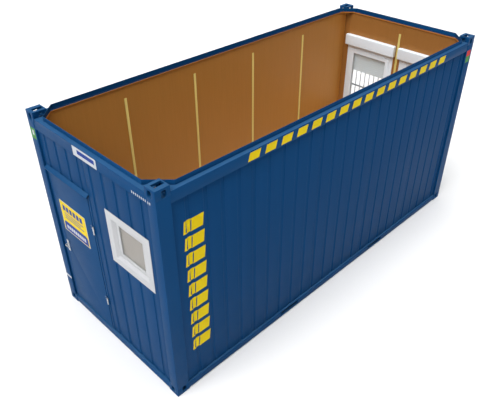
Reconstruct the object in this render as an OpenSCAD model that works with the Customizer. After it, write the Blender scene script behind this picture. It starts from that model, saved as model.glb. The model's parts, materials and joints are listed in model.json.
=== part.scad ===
// Open-top steel cabin in container format: a welded steel frame with corner
// castings, insulated wall panels, a board floor, one door and three windows.
// The roof is off, so the ring of top beams is open.
// X runs along the length with the door end at -X, Y across, Z up.
// Units are millimetres. The origin is on the ground under the middle.

/* [Cabin] */
// Length over the corner castings
cabin_length = 6055; // [4900:5:7400]
// Width over the corner castings
cabin_width = 2435; // [2400:5:3000]
// Height over the corner castings
cabin_height = 2960; // [2900:5:3600]
// Depth from the outside of the frame to the inside of the lining
wall_depth = 97.5; // [90:0.5:130]
// Height of the finished floor
floor_level = 170; // [165:1:230]

/* [Corner castings] */
// Casting size along the length
casting_length = 178; // [176:1:200]
// Casting size across the width
casting_width = 162; // [150:1:180]
// Casting height
casting_height = 118; // [118:1:140]
// Thickness of a casting's two outer walls, its top and its bottom
casting_wall = 26; // [12:1:28]
// Thickness of a casting's two walls away from the corner
casting_inner_wall = 12; // [8:1:28]
// Distance from the cabin's end to the aperture centre
aperture_from_end = 101.5; // [95:0.5:105]
// Distance from the cabin's side to the aperture centre
aperture_from_side = 89; // [80:0.5:92]
// Length of the top and bottom apertures
aperture_length = 124; // [110:0.5:126]
// Width of the top and bottom apertures
aperture_width = 63.5; // [55:0.5:70]
// Distance from a casting's outer end to the centre of its side apertures
side_aperture_from_end = 67.5; // [60:0.5:75]
// Width of the side apertures
side_aperture_width = 62; // [45:1:64]
// Height of the side apertures
side_aperture_height = 90; // [70:1:90]

/* [Steel frame] */
// Steel thickness of posts and beams
steel = 4; // [3:0.5:6]
// Post width seen on the long sides
post_length = 173; // [150:1:176]
// Post width seen on the ends
post_width = 137; // [120:1:150]
// Depth of the post's return edges
post_return = 32; // [31:1:45]
// How far the beams sit behind the castings
beam_inset = 3; // [0:0.5:6]
// Reach of a base beam's top flange inwards from the outside of the frame
beam_flange = 92; // [80:1:96]
// Reach of a base beam's bottom flange
beam_foot = 60; // [40:1:80]
// Underside of the base beams
base_bottom = 15; // [12:1:25]
// Top of the base beams
base_top = 110; // [100:1:116]
// Underside of the top beams, measured down from the cabin's top
top_beam_bottom = 210; // [180:1:260]
// Top flange of the top beams, measured down from the cabin's top
top_beam_flange = 75; // [60:1:90]
// Height of the upstand on the top beams
upstand_height = 57; // [30:1:58]
// Distance from the outside to the upstand
upstand_from_side = 58; // [50:1:65]
// Depth of the lip that covers the top edge of the lining
lip_depth = 18; // [10:1:30]

/* [Fork pockets] */
// Wall thickness of the fork pocket tubes and joists
tube_wall = 3; // [2:0.5:6]
// Clear width of a fork pocket
pocket_width = 352; // [250:1:400]
// Clear height of a fork pocket
pocket_height = 72; // [60:1:74]
// Distance between the two pocket centres
pocket_spacing = 2050; // [1000:5:2300]

/* [Floor] */
// Number of floor joists
joist_count = 13; // [9:2:21]
// Width of a joist flange
joist_flange = 45; // [30:1:60]
// Thickness of the underside sheet
underside_sheet = 1.5; // [1:0.5:3]
// Joint between the sheets of the underside
sheet_joint = 0.5; // [0.3:0.1:2]
// Thickness of the floor board
floor_board_thickness = 22; // [18:1:28]
// Thickness of the floor covering
covering_thickness = 2; // [1.5:0.5:4]

/* [Walls] */
// Depth from the outside of the frame to the flats of the cladding
cladding_depth = 26; // [22:0.5:31]
// Depth of a groove in the cladding
groove_depth = 8; // [4:0.5:14]
// Width of a groove at its floor
groove_floor = 42; // [16:1:48]
// Width of a groove at the surface
groove_mouth = 54; // [42:1:70]
// Distance between grooves
groove_pitch = 234.4; // [180:0.2:300]
// Distance from the door end's post to the first groove of a long wall
first_groove = 201; // [60:1:240]
// Distance from the middle of an end wall to its nearest groove
end_groove = 8; // [0:1:110]
// Least distance from a groove to the end of its wall
groove_margin = 10; // [5:1:40]
// How far door and window frames stand out from the cladding
frame_proud = 5; // [2:0.5:8]
// Thickness of the lining board
lining_thickness = 10; // [8:0.5:16]
// Number of wall panels along each long side
panels_per_side = 5; // [3:1:8]
// Joint between neighbouring panels
panel_joint = 1; // [0.5:0.1:3]
// Width of a cover strip on the lining
strip_width = 38; // [25:1:60]
// Thickness of a cover strip
strip_thickness = 6; // [4:0.5:12]
// Top of the cover strips, measured down from the cabin's top
strip_top = 245; // [230:1:400]
// Height of the skirting strip
skirting_height = 22; // [15:1:80]

/* [Door] */
// Strip of wall between the post and the door frame
frame_from_post = 34; // [28:1:60]
// Width of the frame beside the leaf on the lock side
lock_jamb = 22; // [15:1:40]
// Width of the door leaf
leaf_width = 857; // [700:1:950]
// Bottom of the door leaf
leaf_bottom = 125; // [120:1:140]
// Height of the door leaf
leaf_height = 2090; // [1900:1:2150]
// Thickness of the door leaf
leaf_thickness = 40; // [30:1:46]
// Depth from the outside of the frame to the face of the leaf
leaf_depth = 17; // [12:0.5:20]
// Running gap all round the leaf
leaf_gap = 7; // [6.5:0.5:10]
// How far the frame reaches behind the leaf
frame_lap = 24; // [18:1:50]
// How far the threshold plate reaches into the room
sill_reach = 12; // [5:1:30]
// Thickness of the threshold plate
sill_plate = 2; // [1:0.5:3]
// Width of the frame on the hinge side
hinge_jamb = 35; // [34:1:60]
// Height of the frame over the leaf
head_height = 30; // [20:1:60]
// How far the hood stands out from the castings
hood_overhang = 18; // [5:1:25]
// Height of the hood's back edge over the frame
hood_rise = 34; // [20:1:60]
// Sheet thickness of the hood
hood_sheet = 2; // [1:0.5:3]
// Height of the hood's drip edge
hood_drip = 12; // [6:1:25]
// Height of the hood's flange on the wall
hood_flange = 24; // [12:1:40]

/* [Hinges and handle] */
// Height of the lower hinge above the ground
hinge_low = 645; // [400:5:900]
// Height of the upper hinge above the ground
hinge_high = 1775; // [1400:5:1950]
// Length of a hinge knuckle
knuckle_length = 56; // [40:1:90]
// Radius of a hinge knuckle
knuckle_radius = 9; // [8:0.5:11]
// Radius of the hinge pin
pin_radius = 5; // [4:0.5:6]
// Radial clearance of the hinge pin and the handle neck
running_gap = 0.06; // [0.03:0.01:0.09]
// Distance from the leaf's edge to the hinge axis
hinge_from_leaf = 23; // [20:1:30]
// Depth from the outside of the frame to the hinge axis
hinge_depth = 7; // [4:0.5:8]
// Thickness of the hinge plates
hinge_plate = 4; // [2.5:0.5:4]
// How far a hinge plate reaches over the leaf
hinge_reach = 40; // [25:1:80]
// Gap between the knuckles of a hinge
knuckle_gap = 0.5; // [0.3:0.1:2]
// Height of the handle above the ground
handle_height = 1130; // [950:5:1300]
// Distance from the leaf's free edge to the handle
handle_from_edge = 78; // [75:1:120]
// Length of the lever
lever_length = 130; // [90:1:150]
// Radius of the lever
lever_radius = 8; // [6:0.5:10]
// Distance from the leaf to the lever's centre
lever_standoff = 46; // [30:1:50]
// Width of the handle plate
plate_width = 42; // [36:1:60]
// Height of the handle plate above the lever's axis
plate_above = 60; // [40:1:110]
// Depth of the handle plate below the lever's axis
plate_below = 118; // [80:1:160]
// Thickness of the handle plate
plate_thickness = 8; // [4:0.5:10]

/* [Front window] */
// Width of the window over its trim
front_window_width = 795; // [740:1:900]
// Height of the window over its trim
front_window_height = 730; // [600:1:900]
// Bottom of the window trim
front_window_bottom = 1525; // [1300:1:1650]
// Distance from the post to the window trim
front_window_from_post = 98; // [61:1:100]
// Width of the glass
front_glass_width = 436; // [300:1:500]
// Height of the glass
front_glass_height = 408; // [300:1:460]
// How far the trim laps over the wall
front_window_lap = 60; // [30:1:70]
// Flat part of the trim before the bevel
front_trim_flat = 95; // [60:1:120]
// Depth from the outside of the frame to the glass
front_glass_depth = 68; // [60:1:75]
// Width of the sash round the glass
front_sash_profile = 45; // [30:1:55]
// How far the sash reaches in front of the glass
front_sash_front = 14; // [8:1:20]
// How far the sash reaches from the glass's face inwards
front_sash_back = 26; // [22:1:34]
// Thickness of every window's double pane
pane_thickness = 20; // [16:1:24]
// How far window frames stand into the room
window_proud = 6; // [3:1:15]

/* [Back windows] */
// Width of a back window
back_window_width = 945; // [700:1:1000]
// Height of a back window
back_window_height = 1225; // [900:1:1300]
// Bottom of the back windows
back_window_bottom = 1090; // [950:1:1200]
// Distance from the middle of the wall to the middle of a window
back_window_offset = 538; // [520:1:600]
// Width of the window frame profile
frame_profile = 70; // [50:1:90]
// Width of the sash profile
sash_profile = 70; // [50:1:90]
// Depth from the outside of the frame to a back window's frame
back_frame_depth = 56; // [54:1:60]
// Depth from the outside of the frame to a back window's sash
back_sash_depth = 62; // [60:1:70]
// Depth from the outside of the frame to a back window's glass
back_glass_depth = 76; // [72:1:80]
// Height of a roller shutter box
shutter_box_height = 185; // [160:1:230]
// Width of a roller shutter box inside the room
shutter_box_width = 1004; // [960:1:1040]
// How far a shutter box stands into the room
shutter_box_depth = 70; // [30:1:120]
// How far the shutter is let down from its box
shutter_drop = 470; // [100:5:1000]
// Depth from the outside of the frame to the shutter
shutter_depth = 42; // [40:1:46]
// Thickness of the shutter
shutter_thickness = 8; // [6:1:9]
// How far a shutter reaches into each guide
shutter_in_guide = 15; // [8:1:25]
// Width of a shutter guide
guide_width = 45; // [35:1:60]
// How far the guides stand back from the face of the shutter box
guide_setback = 12; // [0:1:14]
// Clearance of the shutter in its guides
guide_clearance = 1; // [0.5:0.5:2]

/* [Hidden] */
$fn = 48;
eps = 1;                                    // overshoot of cuts through a face
half_l = cabin_length / 2;
half_w = cabin_width / 2;
lining_back = wall_depth - lining_thickness;
top_beam_z = cabin_height - top_beam_bottom;
flange_z = cabin_height - top_beam_flange;
ledge_in = wall_depth + steel;              // inner edge of the top ring
board_bottom = floor_level - covering_thickness - floor_board_thickness;
joist_bottom = base_bottom + steel + underside_sheet;
ring_cut = casting_length + casting_width + 2;   // x + y of the upstand across a corner
ring_plate = ring_cut + steel * sqrt(2);         // x + y of the corner plate's inner edge
ring_mitre = steel * (sqrt(2) - 1);              // length of the upstand's mitre
frame_face = cladding_depth - frame_proud;       // face of the door and window frames

blue = [0.09, 0.27, 0.47];
brown = [0.58, 0.38, 0.17];
white = [0.88, 0.88, 0.87];

// The four sides share one way of drawing: u runs to the right as seen from
// outside, d goes inwards from the outside of the frame, z goes up.
module on_right() { translate([0, -half_w, 0]) children(); }
module on_left() { translate([0, half_w, 0]) rotate([0, 0, 180]) children(); }
module on_front() { translate([-half_l, 0, 0]) rotate([0, 0, -90]) children(); }
module on_back() { translate([half_l, 0, 0]) rotate([0, 0, 90]) children(); }

// A box from one corner to the other
module block(low, high) { translate(low) cube(high - low); }

// Draws its child in each of the four corners, with x and y measured inwards
module in_corners() {
    for (sx = [0, 1], sy = [0, 1])
        mirror([sx, 0, 0]) mirror([0, sy, 0]) translate([-half_l, -half_w, 0]) children();
}

// An extrusion along u of a section drawn in d and z
module along_u(u0, u1) {
    translate([u0, 0, 0]) rotate([90, 0, 90]) linear_extrude(u1 - u0) children();
}

// A slot with round ends, centred, cut along z
module round_slot(length, width, depth) {
    for (s = [-1, 1]) translate([s * (length - width) / 2, 0, 0]) cylinder(d = width, h = depth);
    translate([-(length - width) / 2, -width / 2, 0]) cube([length - width, width, depth]);
}

// ---- castings ----

// One casting standing on z = 0 with its aperture below
module casting(slot) {
    size = [casting_length, casting_width, casting_height];
    difference() {
        cube(size);
        block([1, 1, 1] * casting_wall, size - [casting_inner_wall, casting_inner_wall, casting_wall]);
        translate([aperture_from_end, aperture_from_side, -eps])
            if (slot) round_slot(aperture_length, aperture_width, casting_wall + 2 * eps);
            else translate([-aperture_length / 2, -aperture_width / 2, 0])
                cube([aperture_length, aperture_width, casting_wall + 2 * eps]);
        // upright apertures in the four side walls
        translate([aperture_from_end, -eps, side_aperture_from_end]) rotate([-90, 90, 0])
            round_slot(side_aperture_height, side_aperture_width, casting_width + 2 * eps);
        translate([-eps, aperture_from_side, side_aperture_from_end]) rotate([0, 90, 0])
            round_slot(side_aperture_height, side_aperture_width, casting_length + 2 * eps);
    }
}

module bottom_castings() {
    color(blue) in_corners() casting(true);
}

// The part of a top casting below the ring keeps clear of the lining
module top_castings() {
    neck = cabin_height - casting_height;
    color(blue) in_corners() difference() {
        translate([0, 0, cabin_height]) mirror([0, 0, 1]) casting(false);
        block([lining_back, lining_back, neck - eps],
            [casting_length + eps, casting_width + eps, flange_z]);
    }
}

// ---- base ----

// Open channel with its web outside
module base_beam(length, corner) {
    end = length / 2 - corner;
    along_u(-end, end) difference() {
        translate([beam_inset, base_bottom])
            square([beam_flange - beam_inset, base_top - base_bottom]);
        translate([beam_inset + steel, base_bottom + steel])
            square([beam_flange, base_top - base_bottom - 2 * steel]);
        translate([beam_foot, base_bottom - eps]) square([beam_flange, steel + 2 * eps]);
    }
}

// Places of the four pocket mouths along a long side, from the outside of the frame
module at_pockets() {
    for (s = [-1, 1]) translate([s * pocket_spacing / 2, 0, 0]) children();
}

pocket_out = pocket_width / 2 + tube_wall;         // half the pocket's outside width
pocket_top = joist_bottom + pocket_height + 2 * tube_wall;

// The long beams are cut right through where the pockets pass
module long_base_beam() {
    difference() {
        base_beam(cabin_length, casting_length);
        at_pockets() block([-pocket_out, 0, 0], [pocket_out, wall_depth, casting_height]);
    }
}

module base_beam_front() { color(blue) on_front() base_beam(cabin_width, casting_width); }
module base_beam_back() { color(blue) on_back() base_beam(cabin_width, casting_width); }
module base_beam_left() { color(blue) on_left() long_base_beam(); }
module base_beam_right() { color(blue) on_right() long_base_beam(); }

// Top and bottom plates of the fork pockets
module fork_pocket_plates() {
    y = half_w - beam_inset;
    color(blue) at_pockets() for (z = [joist_bottom, pocket_top - tube_wall])
        block([-pocket_out, -y, z], [pocket_out, y, z + tube_wall]);
}

// Side plates of the pockets, and the pieces that carry the long beams on
// over and under them
module fork_pocket_sides() {
    y = half_w - beam_inset;
    color(blue) {
        at_pockets() for (s = [0, 1]) mirror([s, 0, 0])
            block([pocket_width / 2, -y, joist_bottom + tube_wall],
                [pocket_out, y, pocket_top - tube_wall]);
        for (s = [0, 1]) mirror([0, s, 0]) on_right() at_pockets()
            intersection() {
                base_beam(2 * pocket_out, 0);
                for (z = [[0, joist_bottom], [pocket_top, casting_height]])
                    block([-pocket_out, 0, z[0]], [pocket_out, wall_depth, z[1]]);
            }
    }
}

// ---- floor ----

joist_run = cabin_length - 2 * (casting_length + joist_flange);
joist_step = joist_run / (joist_count - 1);
pocket_reach = pocket_out + joist_flange;
function joist_x(i) = -joist_run / 2 + i * joist_step;
function over_pocket(x) = abs(abs(x) - pocket_spacing / 2) < pocket_reach;

// A channel whose ends are cut down to slip into the base beams
module joist(bottom) {
    inner = half_w - wall_depth;
    end = half_w - beam_inset - steel;
    low_top = base_top - steel;
    block([-tube_wall / 2, -inner, bottom], [tube_wall / 2, inner, board_bottom]);
    block([0, -inner, board_bottom - tube_wall], [joist_flange, inner, board_bottom]);
    if (bottom < low_top - joist_flange) {
        block([-tube_wall / 2, -end, bottom], [tube_wall / 2, end, low_top]);
        block([0, -end, bottom], [joist_flange, end, bottom + tube_wall]);
    }
}

module floor_joists() {
    color("gray") for (i = [0 : joist_count - 1])
        translate([joist_x(i), 0, 0])
            joist(over_pocket(joist_x(i)) ? pocket_top : joist_bottom);
}

// Three sheets: one between the long beams and a narrower one at each end
module floor_underside() {
    z = base_bottom + steel;
    color("silver") {
        block([-half_l + casting_length, -half_w + beam_inset + steel, z],
            [half_l - casting_length, half_w - beam_inset - steel, joist_bottom]);
        for (s = [0, 1]) mirror([s, 0, 0])
            block([half_l - casting_length + sheet_joint, -half_w + casting_width, z],
                [half_l - beam_inset - steel, half_w - casting_width, joist_bottom]);
    }
}

module floor_board() {
    color("burlywood") block([-half_l + lining_back, -half_w + lining_back, board_bottom],
        [half_l - lining_back, half_w - lining_back, board_bottom + floor_board_thickness]);
}

module floor_covering() {
    color("slategray") block([-half_l + lining_back, -half_w + lining_back,
        floor_level - covering_thickness], [half_l - lining_back, half_w - lining_back, floor_level]);
}

// ---- posts and top ring ----

// Folded corner post with a return edge on both legs
module corner_posts() {
    t = steel;
    a = post_length;
    b = post_width;
    r = post_return;
    color(blue) in_corners() translate([0, 0, casting_height])
        linear_extrude(cabin_height - 2 * casting_height)
            polygon([[0, 0], [a, 0], [a, r], [a - t, r], [a - t, t], [t, t],
                [t, b - t], [r, b - t], [r, b], [0, b]]);
}

// Folded top beam; it runs from post to post and makes way for the castings,
// and its upstand and inner lip stop at the ring's corner plates
module top_beam(length, post, casting) {
    end = length / 2 - post;
    up_end = length / 2 - (ring_cut - upstand_from_side) - ring_mitre;
    lip_end = length / 2 - (ring_plate - wall_depth);
    t = steel;
    difference() {
        along_u(-end, end) polygon([[beam_inset, top_beam_z], [beam_inset, flange_z],
            [wall_depth, flange_z], [wall_depth, flange_z - t], [beam_inset + t, flange_z - t],
            [beam_inset + t, top_beam_z + t], [lining_back, top_beam_z + t],
            [lining_back, top_beam_z]]);
        for (s = [0, 1]) mirror([s, 0, 0])
            block([length / 2 - casting, 0, cabin_height - casting_height],
                [length / 2, ledge_in, cabin_height]);
    }
    block([-up_end, upstand_from_side, flange_z - eps],
        [up_end, upstand_from_side + t, flange_z + upstand_height]);
    block([-lip_end, wall_depth - eps, flange_z - t], [lip_end, ledge_in, flange_z]);
    block([-lip_end, wall_depth, flange_z - lip_depth], [lip_end, ledge_in, flange_z]);
}

module top_beam_front() {
    color(blue) on_front() top_beam(cabin_width, post_width, casting_width);
}
module top_beam_back() {
    color(blue) on_back() top_beam(cabin_width, post_width, casting_width);
}
module top_beam_left() {
    color(blue) on_left() top_beam(cabin_length, post_length, casting_length);
}
module top_beam_right() {
    color(blue) on_right() top_beam(cabin_length, post_length, casting_length);
}

// Plate across each inner corner of the ring, with the upstand carried round
module ring_corners() {
    t = steel;
    u = upstand_from_side;
    c = ring_cut - u;
    d = ring_mitre;
    color(blue) in_corners() {
        translate([0, 0, flange_z - t]) linear_extrude(t) polygon([
            [casting_length, wall_depth], [ring_plate - wall_depth, wall_depth],
            [wall_depth, ring_plate - wall_depth], [wall_depth, casting_width],
            [casting_length, casting_width]]);
        translate([0, 0, flange_z]) linear_extrude(upstand_height)
            polygon([[c, u], [c + d, u], [c + d, u + t], [u + t, c + d], [u, c + d], [u, c]]);
    }
}

// ---- walls ----

// Groove centres that fit between two ends, one of them at a given place
function grooves(start, u0, u1) = let (reach = groove_mouth / 2 + groove_margin)
    [for (k = [ceil((u0 + reach - start) / groove_pitch) : floor((u1 - reach - start) / groove_pitch)])
        start + k * groove_pitch];

// Plan outline of a panel, flat behind and grooved in front
function panel_outline(u0, u1, centres) = concat([[u0, lining_back], [u0, cladding_depth]],
    [for (c = centres) each [[c - groove_mouth / 2, cladding_depth],
        [c - groove_floor / 2, cladding_depth + groove_depth],
        [c + groove_floor / 2, cladding_depth + groove_depth],
        [c + groove_mouth / 2, cladding_depth]]],
    [[u1, cladding_depth], [u1, lining_back]]);

module grooved_wall(length, corner, start) {
    end = length / 2 - corner;
    translate([0, 0, base_top]) linear_extrude(top_beam_z - base_top)
        polygon(panel_outline(-end, end, grooves(start, -end, end)));
}

// Keeps the cells [u0, u1, z0, z1] of its child, as separate panels
module cut_cells(cells) {
    for (c = cells) intersection() {
        children();
        block([c[0], 0, c[2]], [c[1], wall_depth + 1, c[3]]);
    }
}

// The lower corners of the panels stand clear of the bottom castings
module casting_notches(length, corner) {
    for (s = [-1, 1]) translate([s * (length / 2), 0, 0])
        block([-corner, 0, 0], [corner, wall_depth, casting_height]);
}

module long_wall_panels() {
    pitch = (cabin_length - 2 * wall_depth) / panels_per_side;
    first = -half_l + wall_depth;
    start = -half_l + post_length + first_groove;
    difference() {
        cut_cells([for (i = [0 : panels_per_side - 1])
            [first + i * pitch + (i == 0 ? 0 : panel_joint / 2),
            first + (i + 1) * pitch - (i == panels_per_side - 1 ? 0 : panel_joint / 2),
            base_top, top_beam_z]]) grooved_wall(cabin_length, post_length, start);
        casting_notches(cabin_length, casting_length);
    }
}

module left_wall_panels() { color(blue) mirror([0, 1, 0]) on_right() long_wall_panels(); }
module right_wall_panels() { color(blue) on_right() long_wall_panels(); }

// Door and window places on the front wall, in u from the middle of the wall
frame_u0 = -half_w + post_width + frame_from_post;
leaf_u0 = frame_u0 + lock_jamb + leaf_gap;
leaf_u1 = leaf_u0 + leaf_width;
leaf_top = leaf_bottom + leaf_height;
frame_u1 = leaf_u1 + leaf_gap + hinge_jamb;
frame_top = leaf_top + leaf_gap + head_height;
clear_u0 = leaf_u0 + frame_lap;
clear_u1 = leaf_u1 - frame_lap;
clear_top = leaf_top - frame_lap;
fw_mid = half_w - post_width - front_window_from_post - front_window_width / 2;
fw_u0 = fw_mid - front_window_width / 2;
fw_u1 = fw_mid + front_window_width / 2;
fw_z1 = front_window_bottom + front_window_height;
hole_u0 = fw_u0 + front_window_lap;
hole_u1 = fw_u1 - front_window_lap;
hole_z0 = front_window_bottom + front_window_lap;
hole_z1 = fw_z1 - front_window_lap;
bw_z1 = back_window_bottom + back_window_height;
box_z1 = bw_z1 + shutter_box_height;

// Cells of the front wall between u_end either side and z0 to z1
function front_cells(u_end, z0, z1) = [
    [-u_end, frame_u0, z0, frame_top - panel_joint],
    [-u_end, frame_u1 - panel_joint, frame_top, z1],
    [frame_u1, hole_u0 - panel_joint, z0, z1],
    [hole_u0, hole_u1, z0, hole_z0],
    [hole_u0, hole_u1, hole_z1, z1],
    [hole_u1 + panel_joint, u_end, z0, z1]];

// Cells of the back wall
function back_cells(u_end, z0, z1) = let (o = back_window_offset, w = back_window_width / 2) [
    [-u_end, -o - w - panel_joint, z0, z1],
    [-o - w, -o + w, z0, back_window_bottom],
    [-o - w, -o + w, box_z1, z1],
    [-o + w + panel_joint, o - w - panel_joint, z0, z1],
    [o - w, o + w, z0, back_window_bottom],
    [o - w, o + w, box_z1, z1],
    [o + w + panel_joint, u_end, z0, z1]];

module end_wall_panels(cells) {
    difference() {
        cut_cells(cells) grooved_wall(cabin_width, post_width, end_groove);
        casting_notches(cabin_width, casting_width);
    }
}

module front_wall_panels() {
    color(blue) on_front() end_wall_panels(front_cells(half_w, base_top, top_beam_z));
}
module back_wall_panels() {
    color(blue) on_back() end_wall_panels(back_cells(half_w, base_top, top_beam_z));
}

// The lining of a long wall is joined where its panels are
module long_wall_lining() {
    pitch = (cabin_length - 2 * wall_depth) / panels_per_side;
    first = -half_l + wall_depth;
    for (i = [0 : panels_per_side - 1])
        block([first + i * pitch + (i == 0 ? 0 : panel_joint / 2), lining_back, floor_level],
            [first + (i + 1) * pitch - (i == panels_per_side - 1 ? 0 : panel_joint / 2),
            wall_depth, flange_z - lip_depth]);
}

module left_wall_lining() { color(brown) on_left() long_wall_lining(); }
module right_wall_lining() { color(brown) on_right() long_wall_lining(); }

module end_wall_lining(cells) {
    for (c = cells) block([c[0], lining_back, c[2]], [c[1], wall_depth, c[3]]);
}

module front_wall_lining() {
    color(brown) on_front()
        end_wall_lining(front_cells(half_w - wall_depth, floor_level, flange_z - lip_depth));
}
module back_wall_lining() {
    color(brown) on_back()
        end_wall_lining(back_cells(half_w - wall_depth, floor_level, flange_z - lip_depth));
}

// Strips over the joints of the lining, and one between the back windows
module cover_strips() {
    pitch = (cabin_length - 2 * wall_depth) / panels_per_side;
    z1 = cabin_height - strip_top;
    d1 = wall_depth + strip_thickness;
    color("tan") {
        for (s = [0, 1], i = [1 : panels_per_side - 1])
            mirror([0, s, 0]) on_right() translate([-half_l + wall_depth + i * pitch, 0, 0])
                block([-strip_width / 2, wall_depth, floor_level], [strip_width / 2, d1, z1]);
        on_back() block([-strip_width / 2, wall_depth, floor_level], [strip_width / 2, d1, z1]);
    }
}

// Skirting between the strips, at the foot of the lining
module skirting() {
    pitch = (cabin_length - 2 * wall_depth) / panels_per_side;
    d1 = wall_depth + strip_thickness;
    z1 = floor_level + skirting_height;
    color("tan") {
        for (s = [0, 1], i = [0 : panels_per_side - 1]) {
            u0 = -half_l + wall_depth + i * pitch;
            mirror([0, s, 0]) on_right()
                block([u0 + (i == 0 ? 0 : strip_width / 2 + panel_joint), wall_depth, floor_level],
                    [u0 + pitch - (i == panels_per_side - 1 ? 0 : strip_width / 2 + panel_joint), d1, z1]);
        }
        for (s = [0, 1]) on_back() mirror([s, 0, 0])
            block([strip_width / 2 + panel_joint, wall_depth, floor_level],
                [half_w - d1 - panel_joint, d1, z1]);
        on_front() block([frame_u1 + panel_joint, wall_depth, floor_level],
            [half_w - d1 - panel_joint, d1, z1]);
    }
}

// ---- door ----

module door_frame() {
    stop = leaf_depth + leaf_thickness + leaf_gap;
    color(blue) on_front() {
        difference() {
            block([frame_u0, frame_face, base_top], [frame_u1, wall_depth, frame_top]);
            block([leaf_u0 - leaf_gap, frame_face - eps, base_top - eps],
                [leaf_u1 + leaf_gap, stop, leaf_top + leaf_gap]);
            block([clear_u0, frame_face - eps, base_top - eps], [clear_u1, wall_depth + eps, clear_top]);
            block([frame_u0 - eps, lining_back, 0], [frame_u1 + eps, wall_depth + eps, floor_level]);
        }
    }
}

module door_sill() {
    stop = leaf_depth + leaf_thickness + leaf_gap;
    color("silver") on_front() {
        block([clear_u0, stop, base_top], [clear_u1, lining_back, floor_level + sill_plate]);
        block([clear_u0, lining_back - eps, floor_level],
            [clear_u1, wall_depth + sill_reach, floor_level + sill_plate]);
    }
}

// Places on the leaf
hinge_u = leaf_u1 + hinge_from_leaf;
handle_u = leaf_u0 + handle_from_edge;
neck_radius = lever_radius + 1;
spindle_hole = 12;

module door_leaf() {
    color(blue) on_front() difference() {
        block([leaf_u0, leaf_depth, leaf_bottom], [leaf_u1, leaf_depth + leaf_thickness, leaf_top]);
        translate([handle_u, leaf_depth - eps, handle_height]) rotate([-90, 0, 0])
            cylinder(r = spindle_hole, h = leaf_thickness + 2 * eps);
    }
}

// Folded rain hood over the door
module door_hood() {
    t = hood_sheet;
    back = frame_top + hood_rise;
    front = frame_top;
    color(blue) on_front() along_u(frame_u0, frame_u1) polygon([
        [cladding_depth, back], [-hood_overhang, front], [-hood_overhang, front - hood_drip],
        [-hood_overhang + t, front - hood_drip], [-hood_overhang + t, front - t],
        [cladding_depth - t, back - 2 * t], [cladding_depth - t, back - hood_flange],
        [cladding_depth, back - hood_flange]]);
}

// Frame half of a hinge: lower knuckle with the pin, and its plate on the frame
module hinge_frame_halves() {
    color("silver") on_front() for (z = [hinge_low, hinge_high]) {
        translate([hinge_u, hinge_depth, z - knuckle_length]) cylinder(r = knuckle_radius, h = knuckle_length);
        translate([hinge_u, hinge_depth, z - eps]) cylinder(r = pin_radius, h = knuckle_length + eps);
        block([hinge_u, hinge_depth, z - knuckle_length], [hinge_u + knuckle_radius, frame_face, z]);
        block([hinge_u, frame_face - hinge_plate, z - knuckle_length], [frame_u1, frame_face, z]);
    }
}

// Leaf half of a hinge: upper knuckle and its plate on the leaf
module hinge_leaf_halves() {
    color("silver") on_front() for (z = [hinge_low, hinge_high])
        translate([0, 0, z + knuckle_gap]) difference() {
            union() {
                translate([hinge_u, hinge_depth, 0]) cylinder(r = knuckle_radius, h = knuckle_length);
                block([leaf_u1 - hinge_reach, leaf_depth - hinge_plate, 0],
                    [hinge_u, leaf_depth, knuckle_length]);
            }
            translate([hinge_u, hinge_depth, -eps])
                cylinder(r = pin_radius + running_gap, h = knuckle_length + 2 * eps);
        }
}

// Backplates outside and inside, each with a bearing hole for the lever's neck
module handle_plates() {
    color("silver") on_front() for (d = [leaf_depth - plate_thickness, leaf_depth + leaf_thickness])
        difference() {
            block([handle_u - plate_width / 2, d, handle_height - plate_below],
                [handle_u + plate_width / 2, d + plate_thickness, handle_height + plate_above]);
            translate([handle_u, d - eps, handle_height]) rotate([-90, 0, 0])
                cylinder(r = neck_radius + running_gap, h = plate_thickness + 2 * eps);
        }
}

// Levers outside and inside on one spindle
module door_handle() {
    out = leaf_depth - lever_standoff;
    inn = leaf_depth + leaf_thickness + lever_standoff;
    color("silver") on_front() translate([handle_u, 0, handle_height]) {
        for (d = [out, inn]) translate([0, d, 0]) {
            rotate([0, 90, 0]) cylinder(r = lever_radius, h = lever_length - lever_radius);
            translate([lever_length - lever_radius, 0, 0]) sphere(r = lever_radius);
            sphere(r = neck_radius);
        }
        translate([0, out, 0]) rotate([-90, 0, 0]) cylinder(r = neck_radius, h = inn - out);
    }
}

// ---- front window ----

module front_window_frame() {
    face = frame_face;
    seat = front_glass_depth - front_sash_front;
    back = wall_depth + window_proud;
    inner_w = front_glass_width + 2 * front_sash_profile;
    inner_h = front_glass_height + 2 * front_sash_profile;
    w = front_window_width;
    h = front_window_height;
    mid = front_window_bottom + h / 2;
    color(white) on_front() translate([fw_mid, 0, mid]) difference() {
        union() {
            block([-w / 2, face, -h / 2], [w / 2, cladding_depth, h / 2]);
            block([-w / 2 + front_window_lap, face, -h / 2 + front_window_lap],
                [w / 2 - front_window_lap, back, h / 2 - front_window_lap]);
        }
        hull() {
            block([-w / 2 + front_trim_flat, face - eps, -h / 2 + front_trim_flat],
                [w / 2 - front_trim_flat, face, h / 2 - front_trim_flat]);
            block([-inner_w / 2, seat - eps, -inner_h / 2], [inner_w / 2, seat, inner_h / 2]);
        }
        block([-inner_w / 2, seat - 2 * eps, -inner_h / 2],
            [inner_w / 2, back + eps, inner_h / 2]);
    }
}

module front_window_sash() {
    inner_w = front_glass_width + 2 * front_sash_profile;
    inner_h = front_glass_height + 2 * front_sash_profile;
    mid = front_window_bottom + front_window_height / 2;
    color(white) on_front() translate([fw_mid, 0, mid]) difference() {
        block([-inner_w / 2, front_glass_depth - front_sash_front, -inner_h / 2],
            [inner_w / 2, front_glass_depth + front_sash_back, inner_h / 2]);
        block([-front_glass_width / 2, 0, -front_glass_height / 2],
            [front_glass_width / 2, wall_depth, front_glass_height / 2]);
    }
}

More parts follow.
